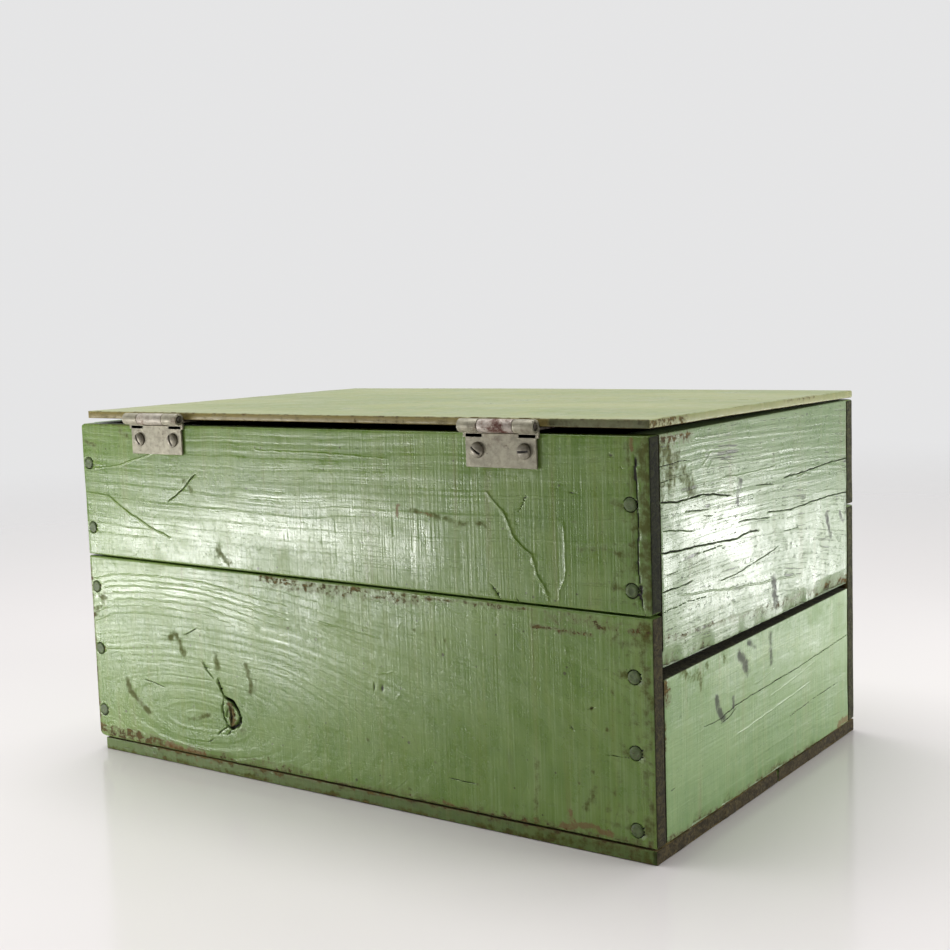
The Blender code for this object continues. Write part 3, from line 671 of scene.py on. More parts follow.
# raised creases and ghost strokes, painted pale along their ridges as painted highlights
carve(board, back, ghost_strokes + [
    (0.9, -0.40, [(181, 150.3), (163, 149.1), (152, 142.4), (130.4, 133.2), (114.4, 127.8)]),
    (0.8, -0.30, [(173.3, 164.4), (153.8, 166.4), (140, 170), (125, 174.3)]),
    (0.9, -0.50, [(-98, 162), (-102.3, 157.4), (-106.4, 154.1), (-108.8, 148.9), (-112.2, 142),
                  (-116.3, 137.9), (-121.4, 134.7), (-124.1, 126.1), (-128, 119.4),
                  (-129.9, 114.3)]),
    (0.8, -0.30, [(-139.2, 150.6), (-139.5, 129), (-138.8, 124.6), (-135.6, 119.1),
                  (-136, 113.9)]),
    (0.8, -0.20, [(48, 178), (0, 177.5), (-40, 176)])], dark=False)
stain(board, back, [
    # painted sheen over some real chalky paint: pale patches where the glare lies across the board
    ("chalk_and_sheen", 0.7, 26, [(170, 128), (120, 134), (60, 134)]),
    ("chalk_and_sheen", 1.0, 18, [(84, 142), (40, 138), (-10, 134), (-60, 132)]),
    ("chalk_and_sheen", 0.9, 8, [(60, 153), (10, 152), (-42, 149), (-60, 142)]),
    ("chalk_and_sheen", 0.6, 7, [(40, 170), (0, 170), (-40, 168), (-80, 164)]),
    ("chalk_and_sheen", 0.7, 4, [(-94, 172), (-124, 170.5)]),
    ("chalk_and_sheen", 0.6, 12, [(130, 120), (60, 118)]),
    ("grime_and_shade", 1.0, 3.5, [(101.5, 160), (97, 155)]),
    ("grime_and_shade", 0.9, 7, [(79.5, 123.7), (69.8, 117)]),
    ("grime_and_shade", 0.8, 3.5, [(-52, 152.3), (-64.5, 150.1), (-82.3, 146.5), (-96, 147.3)]),
    ("grime_and_shade", 0.9, 3, [(-147, 139), (-160, 140), (-172, 138)]),
    ("grime_and_shade", 0.6, 2.5, [(-132, 152), (-145, 151)]),
    # painted shade over some real dirt: the marks along x -170 to -181 darken the rounded end strip at
    # the near corner and the whole -X end, where shade falls
    ("grime_and_shade", 0.9, 3.5, [(-173, 186), (-174, 165), (-174, 140), (-175, 116)]),
    ("grime_and_shade", 1.15, 8, [(-180, 186), (-180.5, 150), (-181, 116)]),
    ("grime_and_shade", 0.9, 3.5, [(180, 179), (172, 178)]),
    ("grime_and_shade", 0.35, 26, [(-172, 180), (-170, 120)]),
    ("grime_and_shade", 0.8, 3.5, [(150, 186), (144, 183)]),
    ("rust", 1.1, 2.2, [(-173.6, 188.5), (-174.2, 184)]),
    ("rust", 1.0, 1.8, [(-45.1, 154), (-44.4, 148)]),
    ("rust", 0.7, 1.8, [(-58, 151), (-66, 149.5)]),
    ("bare", 0.6, 2.0, [(182, 189.5), (60, 189.6)]),
    # dirt and painted shade: dark marks beside and around the nail dents, where the dents fall into
    # shade
    *[("grime_and_shade", 0.8, 4, [(x + 2, z), (x + 9, z + 0.5)]) for x, z in nails if x < 0],
    *[("grime_and_shade", 0.9, 4.4, [(x - 0.5, z - 1)]) for x, z in nails]])
round_corner(board, back, (183, 190), (-1, -1), 4.0 * mm)
round_corner(board, back, (-183, 111.3), (1, 1), 3.0 * mm)
mark_ends(board, 0, front)
# painted shade: the end grain's near-black tone is partly its own dark stain and partly the shade at
# the near corner
painted_piece(board, "back_board_upper", "box", "painted_board", "x", 31.7, box_green, pale_green,
              ((0.02, 0.122, 0.30), (0.22, 0.4, 1.0), 260), checks=0.15,
              end_tone=(0.006, 0.007, 0.002))

rings, nails = nail_rings("back_lower")
board = sawn_board("back_board_lower", (235, 4, 126), 1.0 * mm, 37.1, 0)
carve(board, back, rings, wander=0.15 * mm)
carve(board, back, [
    (0.34, 1.0, [(94.7, 61.3), (91.9, 56.5), (86.8, 52)]),
    (0.75, 1.6, [(83.9, 52.6), (82.6, 49), (81.8, 46.4), (80.4, 44.6), (79.7, 43.2)]),
    (1.70, 2.8, [(79.7, 43.2), (73.7, 41.2), (69.8, 36.9), (68.2, 32.8)]),
    (2.30, 3.2, [(68.2, 33.4), (68.6, 30.6), (70.6, 28.6)]),
    (1.20, 2.4, [(70.4, 28.8), (74.9, 26.2), (77.8, 27.1)]),
    (0.60, 1.5, [(77.8, 27.1), (80.6, 31.8), (81.2, 37.4), (80.2, 42)]),
    (1.00, 1.9, [(75.6, 38), (75.0, 33), (75.5, 28)]),
    (0.70, 1.5, [(77.6, 36.5), (78.8, 32)]),
    (0.34, 1.0, [(73.2, 37.5), (72.4, 33)]),
    (0.36, 0.8, [(77.8, 27.1), (83.5, 23.4), (86, 21)]),
    (0.30, 0.5, [(88.5, 18.7), (94.2, 15.6)]),
    (0.30, 0.5, [(75, 26), (78, 22.5), (80, 22)]),
    (0.24, 0.4, [(-158.8, 46.8), (-169.5, 47.3)]),
    (0.22, 0.3, [(108.7, 74), (103, 76.5), (97.1, 79.7)]),
    (0.40, 0.4, [(49.8, 45.4), (48.8, 44.2)]),
    (0.28, 0.3, [(142.3, 45.3), (134, 44.4), (126, 42.6)]),
    (0.34, 0.4, [(-25.7, 63.9), (-25.4, 57.6)]),
    (0.30, 0.4, [(-30.9, 63.5), (-30.7, 59.3)]),
    (0.70, 0.5, [(-149.6, 66.6), (-152.4, 67.8)]),
    (0.55, 0.5, [(-139.8, 57.8), (-141.4, 55.6)]),
    (0.24, 0.3, [(-70, 22), (-87, 21.6)])], wander=0.25 * mm)
grain_line = [(182, -5.5), (165, -1.5), (140, 0.2), (118, 0.4), (95, 0), (73, -2.4), (50, -6),
              (30, -8)]
# raised grain lines, painted pale along their ridges as painted highlights
carve(board, back, [
    (0.6, -0.20, [(x, z + 105.3) for x, z in grain_line]),
    (0.5, -0.17, [(x, z * 1.1 + 101.9) for x, z in grain_line]),
    (0.6, -0.20, [(x, z * 1.1 + 98.9) for x, z in grain_line]),
    (0.5, -0.17, [(x, z * 1.2 + 95.3) for x, z in grain_line[1:]]),
    (0.6, -0.20, [(x, z * 1.3 + 91.6) for x, z in grain_line[1:-1]]),
    (0.5, -0.17, [(x, z * 1.4 + 88.0) for x, z in grain_line[:-2]]),
    (0.5, -0.16, [(x, z * 1.5 + 83.6) for x, z in grain_line[:-3]]),
    (0.7, -0.20, [(10, 91.5), (-12, 88.6), (-30, 87)]),
    (0.6, -0.30, [(-27.3, 68.7), (-34, 69.4), (-37.7, 71)]),
    (0.6, -0.26, [(-40.1, 57.2), (-42, 60.5)]),
    (0.6, -0.26, [(-42, 92.8), (-44, 96)]),
    (0.7, -0.30, [(-138.3, 93.4), (-138.3, 90)])], dark=False)
stain(board, back, [
    # painted highlights and sheen: pale lines along the raised grain, and pale patches where the
    # window's glare falls
    *[("chalk_and_sheen", 2.2, 1.0, [(x, z * steep + rise) for x, z in grain_line]) for steep, rise in (
        (1, 105.3), (1.1, 101.9), (1.1, 98.9), (1.2, 95.3), (1.3, 91.6), (1.4, 88.0))],
    ("chalk_and_sheen", 0.9, 16, [(182, 96), (140, 100), (90, 98), (60, 92)]),
    ("chalk_and_sheen", 0.6, 20, [(180, 70), (150, 60)]),
    ("chalk_and_sheen", 0.45, 26, [(60, 66), (20, 62)]),
    ("grime_and_shade", 1.3, 4.2, [(156.1, 43), (154, 37), (147.6, 32), (139, 27)]),
    ("grime_and_shade", 1.0, 5.0, [(146, 31), (139, 27)]),
    ("grime_and_shade", 1.1, 4.0, [(120, 71), (114.4, 73.5), (111, 68), (108.7, 63.7)]),
    ("grime_and_shade", 1.0, 3.5, [(61.7, 61.6), (59.2, 54.7), (59.7, 48)]),
    ("grime_and_shade", 0.8, 2.5, [(55.5, 55), (56.7, 48)]),
    ("grime_and_shade", 0.8, 5.0, [(86, 66), (84, 60)]),
    ("grime_and_shade", 0.7, 3.0, [(108.5, 26.3), (97, 30), (90.6, 32)]),
    ("grime_and_shade", 0.8, 5.0, [(72, 24), (66, 27)]),
    ("grime_and_shade", 0.9, 4.0, [(175, 90), (167, 93), (183, 78)]),
    ("bare", 1.1, 4.5, [(75.5, 39), (74, 29)]),
    ("bare", 0.55, 8.0, [(49, 110.8), (17, 110), (-14, 109.6), (-22, 109.4)]),
    ("bare", 0.50, 7.0, [(-26, 108.8), (-53, 108)]),
    ("bare", 0.55, 2.5, [(-60, 109.5), (-120, 109)]),
    ("bare", 0.70, 2.6, [(-120, 102.3), (-127, 101.7), (-141, 100.9), (-152, 100.6)]),
    ("bare", 0.55, 6.0, [(-130, 106.6), (-157, 106.3), (-180, 105)]),
    ("bare", 0.72, 7.0, [(184, 11), (168, 11.4), (148, 10.8), (128, 8.9)]),
    ("bare", 0.62, 6.0, [(128, 9), (105, 8.5), (68, 8.5), (30, 8.4)]),
    ("bare", 0.55, 5.0, [(30, 8), (-60, 8), (-180, 8.4)]),
    ("bare", 0.60, 3.6, [(-38, 9.5), (-51, 8.5), (-66, 8.4)]),
    ("bare", 0.60, 2.6, [(182, 8), (182.5, 40), (182, 108)]),
    ("rust", 1.0, 4.5, [(127, 10), (112, 8.5), (98, 8)]),
    ("rust", 0.9, 2.6, [(-138.5, 17), (-139.5, 13), (-137, 9)]),
    ("rust", 0.9, 3.6, [(-133, 9.6), (-149, 12), (-160, 10)]),
    ("rust", 0.7, 3.0, [(-118, 12), (-120, 8)]),
    ("rust", 0.7, 2.4, [(-64, 9), (-72, 8.6)]),
    ("grime_and_shade", 0.8, 3.0, [(-121, 37.7), (-119.4, 8)]),
    ("grime_and_shade", 0.7, 2.2, [(-64.6, 89.9), (-63, 86)]),
    ("grime_and_shade", 0.7, 2.2, [(-70.8, 89.6), (-72, 86)]),
    # painted shade over some real dirt: these two marks darken the -X end and its edge, where shade
    # falls
    ("grime_and_shade", 1.0, 6.0, [(-178, 108), (-180, 60), (-180, 10)]),
    ("grime_and_shade", 0.35, 30, [(-172, 100), (-175, 50), (-160, 14)]),
    ("grime_and_shade", 0.8, 5.0, [(-163, 98), (-175, 100)]),
    ("grime_and_shade", 0.8, 3.5, [(-146, 20), (-152, 30)]),
    *[("grime_and_shade", 1.2, size, [(x, z)]) for x, z, size in (
        (-94.9, 108, 1.7), (-97.3, 74.1, 1.5), (-62.3, 28.6, 2.1), (-82.4, 32.7, 1.3),
        (-87, 22.1, 1.7), (-158.5, 104.7, 1.8), (-153.2, 74.3, 1.8), (-151, 67.1, 1.6),
        (-162, 75.6, 1.6), (-159.1, 58.5, 1.6), (-150.7, 37.8, 2.2), (-157.9, 31.9, 1.8),
        (-161.8, 29.9, 2.2), (-143.5, 31.3, 1.6), (-45.7, 12.9, 1.6), (-97.5, 10, 1.5),
        (-85.3, 9, 1.8), (65.4, 104.3, 1.6), (30.6, 85.7, 1.9), (49.4, 13.8, 1.6),
        (-20.2, 33.9, 2.0), (-52, 93, 1.4), (110.2, 66, 2.0))],
    # painted shade and highlight: dark marks beside and around each nail dent, and pale marks on the
    # lit lower -X side of the dents
    *[("grime_and_shade", 0.9, 3.5, [(x + 3, z), (x + 8, z)]) for x, z in nails if x < 0],
    *[("chalk_and_sheen", 1.8, 1.5, [(x - 3.0, z - 3.2), (x - 3.8, z - 1.8)]) for x, z in nails if x < 0],
    *[("grime_and_shade", 0.9, 4.4, [(x + 0.3, z)]) for x, z in nails],
    *[("rust", 0.7, 3.4, [(x - 3, z + 0.5)]) for x, z in nails if x > 0]])
ragged(board, back, "z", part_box("back_board_lower")[0].z, 4 * mm, 1.0 * mm, 2.2)
round_corner(board, back, (183, 7.3), (-1, 1), 4.5 * mm)
mark_ends(board, 0, front)
painted_piece(board, "back_board_lower", "box", "painted_board", "x", 37.1, box_green, pale_green,
              ((0.10, 0.122, 0.030), (0.30, 0.4, 1.0), 300), checks=0.15,
              end_tone=(0.017, 0.014, 0.005))


# ---------------------------------------------------------------- front boards
# The same pair on the hasp side, where hands have worn the paint thin around the closure.

for node, nailed, seed, middle in (
        ("front_board_upper", "front_upper", 42.5, (-0.05, -0.115, 0.26)),
        ("front_board_lower", "front_lower", 47.3, (0.03, -0.115, 0.02))):
    low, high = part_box(node)
    foot, head = low.z / mm, high.z / mm
    rings, nails = nail_rings(nailed)
    board = sawn_board(node, (190, 4, 96), 1.0 * mm, seed, 0)
    carve(board, front, rings, wander=0.15 * mm)
    if nailed == "front_upper":
        carve(board, front, [(0.45, 1.0, [(-183, 162), (-120, 160), (-70, 163), (-52, 162.5)]),
                             (0.30, 0.6, [(92, 178), (104, 171), (112, 168)]),
                             (0.25, 0.4, [(60, 143), (96, 144)])])
        stain(board, front, [
            ("bare", 0.80, 6, [(-34, head - 1), (14, head - 1)]),
            ("bare", 0.60, 3, [(60, head - 0.5), (176, head - 0.5)]),
            ("grime_and_shade", 0.7, 12, [(-32, 160), (-11, 145), (10, 158)]),
            ("rust", 0.8, 3, [(-20, 150), (-2, 149)])])
    else:
        carve(board, front, [(0.45, 1.1, [(181, 58), (120, 61), (88, 60), (70, 62)]),
                             (0.30, 0.5, [(-60, 96), (-96, 90)])])
        stain(board, front, [
            ("grime_and_shade", 1.1, 5, [(120, 40), (116, 34), (108, 28)]),
            ("grime_and_shade", 1.0, 4, [(-88, 70), (-94, 62)]),
            ("rust", 0.8, 4, [(-150, 12), (-120, 10)]),
            ("bare", 0.70, 4, [(-170, head - 2), (-110, head - 2)])])
    stain(board, front, [
        ("chalk_and_sheen", 0.8, 20, [(-120, head - 30), (0, head - 26), (90, head - 34)]),
        ("chalk_and_sheen", 0.6, 14, [(120, foot + 30), (160, foot + 36)]),
        ("bare", 0.65, 3.4, [(-181, foot + 1.5), (0, foot + 1), (181, foot + 1.5)]),
        ("grime_and_shade", 0.8, 4, [(-181, foot), (-181.5, head)]),
        # dirt and painted shade: dark rings around the nail dents
        *[("grime_and_shade", 0.9, 4.4, [(x, z)]) for x, z in nails],
        *[("grime_and_shade", 0.8, 3.6, [(x, z - 3), (x, z - 10)]) for x, z in nails]])
    ragged(board, front, "z", low.z, 4 * mm, 0.9 * mm, seed)
    round_corner(board, front, (-183, head), (1, -1), 2.5 * mm)
    mark_ends(board, 0, back)
    painted_piece(board, node, "box", "painted_board", "x", seed, box_green, pale_green,
                  (middle, (0.28, 0.4, 1.0), 280), checks=0.15, end_tone=(0.020, 0.020, 0.008))


# ---------------------------------------------------------------- wall and bottom nails
# Wire nails with flat round heads, driven flush and painted over with the boards. The paint has
# gone from the middle of some heads, where a hammer flattened it.

def turned(profile, sides):
    """A shape turned about Z from (radius, height) points in mm, both ends of it on the axis."""
    shape = bmesh.new()
    points = [shape.verts.new((r * mm, 0, h * mm)) for r, h in profile]
    line = [shape.edges.new(pair) for pair in zip(points, points[1:])]
    bmesh.ops.spin(shape, geom=points + line, cent=(0, 0, 0), axis=(0, 0, 1),
                   angle=math.radians(360), steps=sides, use_merge=True)
    bmesh.ops.remove_doubles(shape, verts=shape.verts[:], dist=0.002 * mm)
    bmesh.ops.recalc_face_normals(shape, faces=shape.faces[:])
    return shape


def stood_at(shape, place, direction):
    """Turns a shape's Z to a direction and moves its origin to a place."""
    turn = Vector(direction).to_track_quat("Z", "Y").to_matrix()
    bmesh.ops.rotate(shape, verts=shape.verts[:], cent=(0, 0, 0), matrix=turn)
    bmesh.ops.translate(shape, verts=shape.verts[:], vec=place)
    return shape


def nail_paint(name, seed, paint):
    f = Finish(bpy.data.materials.new(name))
    shift = (seed, seed, seed)
    blot = f.clouds((420, 420, 420), 4, 0.65, shift)
    grit = f.clouds((1600, 1600, 1600), 2, 0.6, shift)
    colour = f.blend(blot.within(0.38, 0.62), tuple(c * 0.55 for c in paint), paint)
    colour = f.blend((blot + (grit - 0.5) * 0.5).within(0.60, 0.66), colour,
                     (0.075, 0.060, 0.038))
    return f.complete(colour, 0.38 + 0.3 * blot, blot * 0.5 + grit * 0.1, 0.5 * mm,
                      Specular_IOR_Level=0.45)


paints = {"nail_back": nail_paint("painted_back_nail", 2.0, (0.100, 0.150, 0.045)),
          "nail_front": nail_paint("painted_front_nail", 4.0, (0.095, 0.140, 0.042)),
          "nail_bottom": nail_paint("rusty_bottom_nail", 6.0, (0.095, 0.060, 0.036))}
heads_out = {"nail_back": (0, 1, 0), "nail_front": (0, -1, 0), "nail_bottom": (0, 0, -1)}
for number, name in enumerate(sorted(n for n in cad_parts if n.startswith("nail_"))):
    kind = "_".join(name.split("_")[:2])
    out = Vector(heads_out[kind])
    low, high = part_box(name)
    middle = (low + high) / 2
    axis = [abs(c) for c in out].index(1)
    length = (high[axis] - low[axis]) / mm
    radius = (high[axis - 1] - low[axis - 1]) / 2 / mm
    nail = turned([(0, -length), (0.35, 1.2 - length), (1.2, 3.2 - length), (1.2, -1.0),
                   (radius - 0.25, -1.0), (radius, -0.75), (radius, -0.3), (radius - 0.3, -0.05),
                   (radius * 0.6, 0), (radius * 0.3, -0.06), (0, -0.1)], 28)
    for v in nail.verts:
        around = math.atan2(v.co.y, v.co.x)
        v.co.xy *= 1 - 0.05 * (0.5 + 0.5 * math.sin(2 * around + number * 1.7))
        if v.co.z > -0.8 * mm:
            v.co.z -= 0.12 * mm * (0.5 + 0.5 * math.sin(around + number * 2.3))
    place = middle.copy()
    place[axis] = high[axis] if out[axis] > 0 else low[axis]
    finished(f"driven_{name}", stood_at(nail, place, out), "box", [name],
             paints[kind])


# ---------------------------------------------------------------- lid
# One thin board, swung on the hinges. Its top is a pale yellow green, partly faded paint and
# partly a painted sheen; its edges are rubbed down to bare brown wood, and its underside was
# never painted.

lid_low, lid_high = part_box("lid_panel")
board = sawn_board("lid_panel", (190, 130, 4), 0.9 * mm, 53.3, 0, 0.35 * mm)
carve(board, top, [
    (0.30, 0.4, [(178, 60), (120, 62), (90, 61)]),
    (0.24, 0.3, [(-183, -20), (-150, -18), (-120, -19)])])
# raised creases, painted pale along their ridges as painted highlights
carve(board, top, [
    (0.9, -0.08, [(60, 80), (-20, 79), (-60, 81)]),
    (0.9, -0.08, [(120, 20), (40, 22), (-30, 20)]),
    (0.9, -0.08, [(40, -50), (-60, -48), (-120, -50)])], dark=False)
stain(board, top, [
    ("bare", 0.55, 1.6, [(-182, 121.5), (-60, 122), (60, 121.5), (176, 121.5)]),
    ("bare", 0.80, 2.4, [(-130, 121.5), (-90, 121.5)]),
    ("bare", 0.80, 3.0, [(-182, 121), (-150, 122)]),
    ("bare", 0.50, 1.6, [(-182, 110), (-182, -112)]),
    ("bare", 0.60, 2.0, [(177, 121), (177, -112)]),
    ("bare", 0.50, 2.0, [(-180, -114), (170, -114)]),
    ("grime_and_shade", 0.7, 3.0, [(-60, -20), (-66, -24)]),
    ("grime_and_shade", 0.6, 3.0, [(110, 90), (112, 84)])])
stain(board, left, [
    ("bare", 0.75, 4.5, [(123, 195), (88, 195)]),
    ("bare", 0.5, 2.5, [(-20, 195), (-60, 195)])])
stain(board, back, [
    ("bare", 0.35, 4.0, [(-181, 195), (-60, 195), (60, 195), (176, 195)])])
round_corner(board, top, (178, 122.35), (-1, -1), 3 * mm)
round_corner(board, top, (-183, 122.35), (1, -1), 2 * mm)
mark_ends(board, 0, under)
end = board.verts.layers.float["end_grain"]
rim = board.verts.layers.float["rim"]
painted_shade = board.verts.layers.float["crack_and_shade"]
for v in board.verts:
    v[end] = 0
    v[rim] = 0.0 if facing(v, top) > 0.75 else 1.0 if facing(v, left) < 0.5 else 0.3
    # painted shade: the lid's back edge beyond the hinge is darkened through the crack layer, standing
    # in for its shadow
    if facing(v, back) > 0.5 and v.co.x < -0.133:
        v[rim] = 0.15
        v[painted_shade] = 0.45
    across = (lid_high.x - v.co.x) / (lid_high.x - lid_low.x)
    ahead = (lid_high.y - v.co.y) / (lid_high.y - lid_low.y)
    v.co.z -= 0.9 * mm * (across * ahead) ** 2
# painted sheen: the top's paint is a paler, yellower green than the walls, partly faded and partly
# standing in for the top's sheen
painted_piece(board, "lid_panel", "lid", "lid_board", "x", 53.3, (0.330, 0.365, 0.155),
              (0.440, 0.450, 0.240), ((0.0, -0.5, 0.195), (0.12, 1.0, 0.4), 200),
              saw=0.3, checks=0.1, rough=0.40, rim_tone=(0.230, 0.185, 0.052))


# ---------------------------------------------------------------- hinges
# Two pressed-steel butt hinges. Each leaf is a cut plate whose tabs are rolled round a loose pin.
# They were painted cream once; the barrels have rusted through it.

leaf_steel = 1.2 * mm


def worn_steel(name, seed, coat, rust_share, metallic=0.2):
    """Old sheet steel under cream paint: chipped, rubbed, and rusting from the edges."""
    f = Finish(bpy.data.materials.new(name))
    shift = (seed, seed * 1.3, seed * 0.7)
    mottle = f.clouds((300, 300, 300), 5, 0.66, shift, 0.3)
    grit = f.clouds((1700, 1700, 1700), 3, 0.6, shift)
    broad = f.clouds((75, 75, 75), 3, 0.5, shift)
    colour = f.blend(mottle.within(0.35, 0.68), coat, tuple(c * 0.66 for c in coat))
    rusty = broad * 0.5 + mottle * 0.5 + (grit - 0.5) * 0.25 + rust_share
    colour = f.blend(rusty.within(0.56, 0.74) * 0.7, colour, (0.190, 0.100, 0.062))
    colour = f.blend(rusty.within(0.66, 0.76), colour, (0.095, 0.030, 0.020))
    pits = f.dots((430, 430, 430), 0.20, 0.12, shift)
    colour = f.blend(pits * 0.7, colour, (0.050, 0.040, 0.030))
    # painted shade: the crack layer darkens the screw slots and the rims of the screw heads
    colour = f.blend(f.layer("crack_and_shade"), colour, (0.018, 0.014, 0.010))
    rough = 0.36 + 0.25 * mottle + 0.2 * rusty.within(0.56, 0.74)
    height = mottle * 0.16 + grit * 0.06 + rusty.within(0.6, 0.72) * 0.12 - pits * 0.15
    return f.complete(colour, rough, height, 0.6 * mm, Metallic=metallic)


cream = (0.385, 0.360, 0.262)
leaf_finish = worn_steel("cream_hinge_leaf", 2.0, cream, 0.0)
barrel_finishes = {"left": worn_steel("rusty_hinge_barrel", 5.0, (0.50, 0.44, 0.38), 0.155),
                   "right": worn_steel("spotted_hinge_barrel", 5.0, (0.48, 0.44, 0.36), 0.09)}
under_lid_finish = worn_steel("dull_hinge_leaf", 7.0, (0.30, 0.27, 0.22), 0.10, 0.4)
screw_finish = worn_steel("worn_screw_head", 9.0, (0.40, 0.37, 0.29), 0.0, 0.4)
dark_finish = worn_steel("dark_fixing_steel", 12.0, (0.16, 0.14, 0.12), 0.05, 0.6)


def plate(low, high):
    """A flat piece of sheet between two corners, its edges eased."""
    shape = bmesh.new()
    bmesh.ops.create_cube(shape, size=1)
    bmesh.ops.scale(shape, verts=shape.verts[:], vec=high - low)
    bmesh.ops.translate(shape, verts=shape.verts[:], vec=(low + high) / 2)
    return shape


def rolled(shape, way, centre, degrees):
    """Rolls the face of a tab that looks one way round the pin at centre."""
    lead = max(shape.faces, key=lambda face: face.calc_center_median().dot(way))
    made = bmesh.ops.spin(shape, geom=[lead], cent=centre, axis=(1, 0, 0),
                          angle=math.radians(degrees), steps=30)
    if lead.is_valid and lead not in made["geom_last"]:
        bmesh.ops.delete(shape, geom=[lead], context="FACES_ONLY")
    bmesh.ops.remove_doubles(shape, verts=shape.verts[:], dist=0.001 * mm)
    bmesh.ops.recalc_face_normals(shape, faces=shape.faces[:])


def joined(shapes):
    """One shape out of several."""
    whole = bmesh.new()
    for shape in shapes:
        mesh = bpy.data.meshes.new("part")
        shape.to_mesh(mesh)
        shape.free()
        whole.from_mesh(mesh)
        bpy.data.meshes.remove(mesh)
    return whole


def eased(shape, radius=0.16 * mm):
    """Rounds a shape's sharp edges."""
    shape.normal_update()
    sharp = [e for e in shape.edges if e.calc_face_angle(0) > math.radians(32)]
    bmesh.ops.bevel(shape, geom=sharp, offset=radius, segments=2, profile=0.5,
                    affect="EDGES", material=-1, clamp_overlap=True)
    return shape


def steel_piece(name, shape, body, nodes, material):
    """As finished, but with the broad flat faces kept flat."""
    piece = finished(name, shape, body, nodes, material)
    for face in piece.data.polygons:
        face.use_smooth = face.area < 12 * mm * mm
    return piece


for hand in ("right", "left"):
    pin_low, pin_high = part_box(f"{hand}_hinge_pin")
    axis = (pin_low + pin_high) / 2
    wall_low, wall_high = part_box(f"{hand}_hinge_back_leaf")
    lid_leaf_low, lid_leaf_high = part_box(f"{hand}_hinge_lid_leaf")
    barrel = wall_high.y - axis.y
    screws = [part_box(f"{hand}_hinge_screw_{n}") for n in (1, 2)]
    screw_x = sorted((low.x + high.x) / 2 for low, high in screws)
    half = (screw_x[1] - screw_x[0]) / 2 + 6.6 * mm
    leaf_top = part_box("back_board_upper")[1].z - 0.2 * mm
    wall_plate = plate(Vector((axis.x - half, wall_low.y, wall_low.z)),
                       Vector((axis.x + half, wall_low.y + leaf_steel, leaf_top)))
    shapes = [eased(wall_plate, 0.3 * mm)]
    knuckle_half = 9.5 * mm  # half the length of the lid leaf's knuckle
    for side in (-1, 1):
        inner = axis.x + side * (knuckle_half + 0.4 * mm)
        outer = axis.x + side * (wall_high.x - wall_low.x) / 2
        tab = plate(Vector((min(inner, outer), axis.y - barrel, leaf_top - 2 * mm)),
                    Vector((max(inner, outer), axis.y - barrel + leaf_steel, axis.z)))
        rolled(tab, Vector((0, 0, 1)), axis, -328)
        shapes.append(eased(tab))
    steel_piece(f"{hand}_hinge_wall_leaf", joined(shapes), "box", [f"{hand}_hinge_back_leaf"],
                leaf_finish)

    lid_plate = plate(Vector((lid_leaf_low.x, lid_leaf_low.y, axis.z - 2.1 * mm)),
                      Vector((lid_leaf_high.x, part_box("back_board_upper")[1].y - 1 * mm,
                              axis.z - 0.9 * mm)))
    shapes = [eased(lid_plate, 0.3 * mm)]
    tab = plate(Vector((axis.x - knuckle_half, lid_leaf_low.y + 8 * mm, axis.z - 2.1 * mm)),
                Vector((axis.x + knuckle_half, axis.y, axis.z - 0.9 * mm)))
    for v in tab.verts:
        if v.co.y > axis.y - 1 * mm:
            v.co.z += 2.1 * mm - barrel
    rolled(tab, Vector((0, 1, 0)), axis, 300)
    shapes.append(eased(tab))
    steel_piece(f"{hand}_hinge_cover_leaf", joined(shapes), "lid", [f"{hand}_hinge_lid_leaf"],
                barrel_finishes[hand])

    pin_half = (pin_high.x - pin_low.x) / 2 / mm
    pin_radius = (pin_high.z - pin_low.z) / 2 / mm
    pin = turned([(0, -pin_half), (pin_radius - 0.3, -pin_half), (pin_radius, 0.3 - pin_half),
                  (pin_radius, pin_half - 0.3), (pin_radius - 0.3, pin_half), (0, pin_half)], 20)
    finished(f"{hand}_hinge_loose_pin", stood_at(pin, axis, (1, 0, 0)), "box",
             [f"{hand}_hinge_pin"], dark_finish)


# ---------------------------------------------------------------- hinge screws and tacks
# Slotted round-head wood screws through the wall leaves, their slots left as the driver stopped,
# and short clout tacks up through the leaves under the thin lid.

def slotted_screw(length, radius, slot_angle):
    """A round-head screw along Z, its head's top at 0. Sizes in mm; the slot's turn in degrees."""
    head, slot, slot_depth = 2.2, 1.0, 1.0
    dome = [(radius * math.sin(math.radians(a)), head * (math.cos(math.radians(a)) - 1))
            for a in range(90, -1, -15)]
    screw = turned([(0, -length), (0.3, 1.0 - length), (1.5, 3.0 - length), (1.5, -head - 0.15),
                    (radius - 0.2, -head - 0.15), *dome], 36)
    turn = Matrix.Rotation(math.radians(slot_angle), 3, "Z")
    out = turn @ Vector((1, 0, 0))
    for at in (-slot / 2 - 0.06, -slot / 2, slot / 2, slot / 2 + 0.06):
        geom = screw.verts[:] + screw.edges[:] + screw.faces[:]
        bmesh.ops.bisect_plane(screw, geom=geom, plane_co=out * at * mm, plane_no=out,
                               dist=0.0001 * mm)
    # painted shade: the slot and the lower rim of the head are darkened in the crack layer
    dark = screw.verts.layers.float.new("crack_and_shade")
    for v in screw.verts:
        if v.co.z < (-head - 0.05) * mm:
            v[dark] = 1.0
        elif v.co.z < (0.35 - head) * mm:
            v[dark] = 0.8
        if abs(v.co.dot(out)) < (slot / 2 + 0.01) * mm and v.co.z > -slot_depth * mm:
            v.co.z = -slot_depth * mm
            v[dark] = 1.0
    return screw


